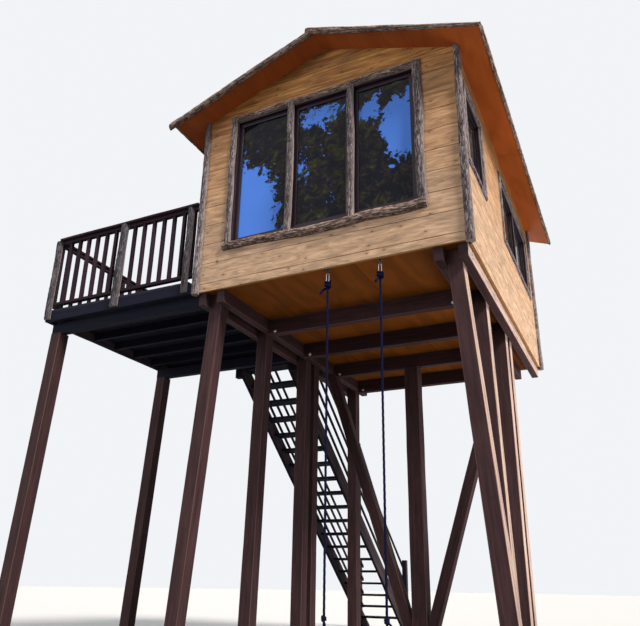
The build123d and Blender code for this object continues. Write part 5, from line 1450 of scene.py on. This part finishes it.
class TREEHOUSE_OT_swing(bpy.types.Operator):
    """Eye bolts, oval hooks, laid ropes with their knots, and the plank seat"""

    bl_idname = "treehouse.swing"
    bl_label = "Swing"

    def execute(self, context):
        dress("swing_eyes", "dull_steel")
        dress("swing_hooks", "steel")
        low, high = box_of("swing_ropes")
        seat_low, seat_high = box_of("swing_seat")
        wire, rope, knot_reach, step = 0.009, 0.0125, 0.030, 0.006
        y, neck = (low[1] + high[1]) / 2, box_of("swing_hooks")[0, 2] + wire + 0.003
        count = int((high[2] - low[2]) / step)
        z = np.linspace(neck - 0.030, low[2] + 0.004, count)
        with Shape("swing_rope_strands", "rope", "rope", "swing_ropes", body=SWING) as shape:
            for n, x in enumerate((low[0] + knot_reach, high[0] - knot_reach)):
                strand(shape, np.stack([np.full(count, x), np.full(count, y), z], axis=-1), rope)
                self.knot(shape, x, y, neck + 0.012, n, 0.0, 1.9)
                self.knot(shape, x, y, seat_high[2] + 0.105, n + 2, 0.012)
                self.knot(shape, x, y, seat_low[2] - 0.002, n + 4, 0.010)
        z = (seat_low[2] + seat_high[2]) / 2
        with Shape("swing_seat_plank", "plank", "swing_plank", "swing_seat", body=SWING) as shape:
            beam(shape, (seat_low[0], y, z), (seat_high[0], y, z), Y, seat_high[1] - seat_low[1],
                 seat_high[2] - seat_low[2], arris=0.009, step=0.03, seed=800)
        return {"FINISHED"}

    def knot(self, shape, x, y, top, seed, spare, size=1.0):
        """A stopper knot: the rope's end wound 2.4 turns round itself, r = R + r0, falling as it turns, and a short
        tail that leaves it slantwise. Size swells it where the rope is doubled."""
        r = 0.0105 * (0.6 + 0.4 * size)
        a = np.linspace(0, 2 * np.pi * 2.4, 90)
        wide = 0.0165 * (0.4 + 0.6 * size) + 0.002 * np.sin(a * 0.7 + seed)
        z = top - 0.014 - (0.050 - spare) * (0.4 + 0.6 * size) * a / a[-1]
        wind = np.stack([x + wide * np.cos(a + seed), y + wide * np.sin(a + seed), z], axis=-1)
        t = np.linspace(0, 1, 24)[1:, None]
        lead = unit(wind[-1] - wind[-2])
        out = unit([np.cos(a[-1] + seed + 0.6), np.sin(a[-1] + seed + 0.6), 0])
        tail = wind[-1] + (lead * 0.030 * t + (out * 0.012 - Z * 0.030) * t**2) * size
        strand(shape, np.concatenate([wind, tail]), r, lay=0.05, around=14)


def seen_rays(tree):
    """One for the rays that the camera sends, also through glass and off a gloss, and zero for the rest."""
    path = node(tree, "LightPath")
    seen = path.outputs["Is Camera Ray"]
    for title in ("Is Transmission Ray", "Is Glossy Ray"):
        seen = node(tree, "Math", {"operation": "MAXIMUM"}, {0: seen, 1: path.outputs[title]})
    return seen


class TREEHOUSE_OT_stage(bpy.types.Operator):
    """Plain pale floor, soft studio light and the camera at the photograph's angle"""

    bl_idname = "treehouse.stage"
    bl_label = "Stage"

    def execute(self, context):
        scene, settings = context.scene, context.scene.tree_house_stage
        scene.view_settings.view_transform = "Standard"
        camera = bpy.data.objects.new("camera", bpy.data.cameras.new("camera"))
        scene.collection.objects.link(camera)
        camera.data.sensor_width = 36.0
        camera.data.lens = settings.lens
        camera.data.shift_y = settings.shift
        camera.data.clip_end = 400.0
        sy, cy, sp, cp = (f(v) for v in (settings.yaw, settings.pitch) for f in (np.sin, np.cos))
        ahead = np.array([-sy * cp, cy * cp, sp])
        right = np.array([cy, sy, 0.0])
        up = np.cross(right, ahead)
        cr, sr = np.cos(settings.roll), np.sin(settings.roll)
        right, up = cr * right + sr * up, cr * up - sr * right
        turned_to = Matrix([[*map(float, row)] for row in np.stack([right, up, -ahead], axis=1)])
        camera.matrix_world = Matrix.Translation(Vector(ORIGIN + np.array(settings.place))) @ turned_to.to_4x4()
        scene.camera = camera
        self.floor(scene, settings)
        self.light(scene)
        return {"FINISHED"}

    def floor(self, scene, settings):
        """A wide round floor: rings of radius r by the angle a, just under height zero. It is mid-grey to the light
        that it throws back, so that the part's underside stays as dark as it should."""
        count, radii = 64, (0.0, 6.0, 20.0, 80.0)
        a, r = np.linspace(0, 2 * np.pi, count, endpoint=False), np.array(radii)[:, None]
        points = np.stack([r * np.cos(a), r * np.sin(a), np.full((len(radii), count), -0.002)], axis=-1)
        i, j = np.meshgrid(np.arange(len(radii) - 1), np.arange(count), indexing="ij")
        k = (j + 1) % count
        faces = np.stack([i * count + j, i * count + k, (i + 1) * count + k, (i + 1) * count + j], axis=-1)
        mesh = bpy.data.meshes.new("floor")
        mesh.from_pydata(points.reshape(-1, 3).tolist(), [], faces.reshape(-1, 4).tolist())
        floor = bpy.data.objects.new("floor", mesh)
        scene.collection.objects.link(floor)
        paint = Paint("Matt studio floor")
        tint = paint.mix(seen_rays(paint.tree), (0.17, 0.165, 0.16), tuple(settings.floor))
        mesh.materials.append(paint.done(tint, 0.9, Specular_IOR_Level=0.1))

    def hang(self, scene, lamp, place, target):
        """Puts a lamp at a place, turned to a target. Only the suns show in glosses."""
        made = bpy.data.objects.new(lamp.name, lamp)
        place, target = Vector(place), Vector(target)
        made.matrix_world = Matrix.Translation(place) @ (target - place).to_track_quat("-Z", "Y").to_matrix().to_4x4()
        scene.collection.objects.link(made)
        made.visible_glossy = lamp.type == "SUN"
        return made

    def light(self, scene):
        """A soft key from high on the right, a low fill from the left and a weak one from behind, all even over the
        floor, a lamp that faces up on the right for light off a bright floor, and a pale world that the camera sees."""
        for name, place, strength, spread, tint in (
            ("key", (0.68, -0.25, 0.62), 5.0, 16.0, (1.0, 0.955, 0.90)),
            ("fill", (-0.62, -0.77, 0.12), 1.35, 34.0, (0.93, 0.96, 1.0)),
            ("back", (-0.45, 0.75, 0.48), 1.5, 50.0, (0.96, 0.97, 1.0)),
        ):
            lamp = bpy.data.lights.new(name, "SUN")
            lamp.angle = float(np.radians(spread))
            lamp.energy = strength
            lamp.color = tint
            self.hang(scene, lamp, 20 * np.array(place), (0.0, 0.0, 0.0))
        lamp = bpy.data.lights.new("kicker", "AREA")
        lamp.shape = "DISK"
        lamp.size = 5.0
        lamp.energy = 420.0
        self.hang(scene, lamp, (6.8, 0.2, 0.03), (6.8, 0.21, 9.0)).visible_camera = False
        world = bpy.data.worlds.new("Studio")
        scene.world = world
        world.use_nodes = True
        tree = world.node_tree
        tree.nodes.clear()
        strength = node(tree, "MapRange", {"To Min": 0.36, "To Max": 0.93}, {"Value": seen_rays(tree)})
        glow = node(tree, "Background", {"Color": (0.95, 0.97, 1.0, 1.0)}, {"Strength": strength})
        node(tree, "OutputWorld", {}, {"Surface": glow})


GROUPS = {
    "tree_house_timber": TreeHouseTimber,
    "tree_house_bark": TreeHouseBark,
    "tree_house_roof": TreeHouseRoof,
    "tree_house_colours": TreeHouseColours,
    "tree_house_stage": TreeHouseStage,
}
STEPS = (
    TREEHOUSE_OT_stage,
    TREEHOUSE_OT_cladding,
    TREEHOUSE_OT_roof,
    TREEHOUSE_OT_bark,
    TREEHOUSE_OT_windows,
    TREEHOUSE_OT_door,
    TREEHOUSE_OT_underfloor,
    TREEHOUSE_OT_frame,
    TREEHOUSE_OT_deck,
    TREEHOUSE_OT_railing,
    TREEHOUSE_OT_stair,
    TREEHOUSE_OT_swing,
)


class TREEHOUSE_PT_panel(bpy.types.Panel):
    """Lists the steps and their sizes"""

    bl_idname = "TREEHOUSE_PT_panel"
    bl_label = "Tree House"
    bl_space_type = "VIEW_3D"
    bl_region_type = "UI"
    bl_category = "Tree House"

    def draw(self, context):
        for step in STEPS:
            self.layout.operator(step.bl_idname)
        for title in GROUPS:
            group = getattr(context.scene, title)
            column = self.layout.column()
            for name in group.bl_rna.properties.keys():
                if name not in ("rna_type", "name"):
                    column.prop(group, name)


def register():
    for group in GROUPS.values():
        bpy.utils.register_class(group)
    for title, group in GROUPS.items():
        setattr(bpy.types.Scene, title, bpy.props.PointerProperty(type=group))
    for step in STEPS:
        bpy.utils.register_class(step)
    bpy.utils.register_class(TREEHOUSE_PT_panel)


def unregister():
    bpy.utils.unregister_class(TREEHOUSE_PT_panel)
    for step in reversed(STEPS):
        bpy.utils.unregister_class(step)
    for title, group in GROUPS.items():
        delattr(bpy.types.Scene, title)
        bpy.utils.unregister_class(group)


def main():
    """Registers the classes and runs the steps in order."""
    register()
    for step in STEPS:
        getattr(bpy.ops.treehouse, step.bl_idname.split(".")[1])()


if __name__ == "__main__":
    main()
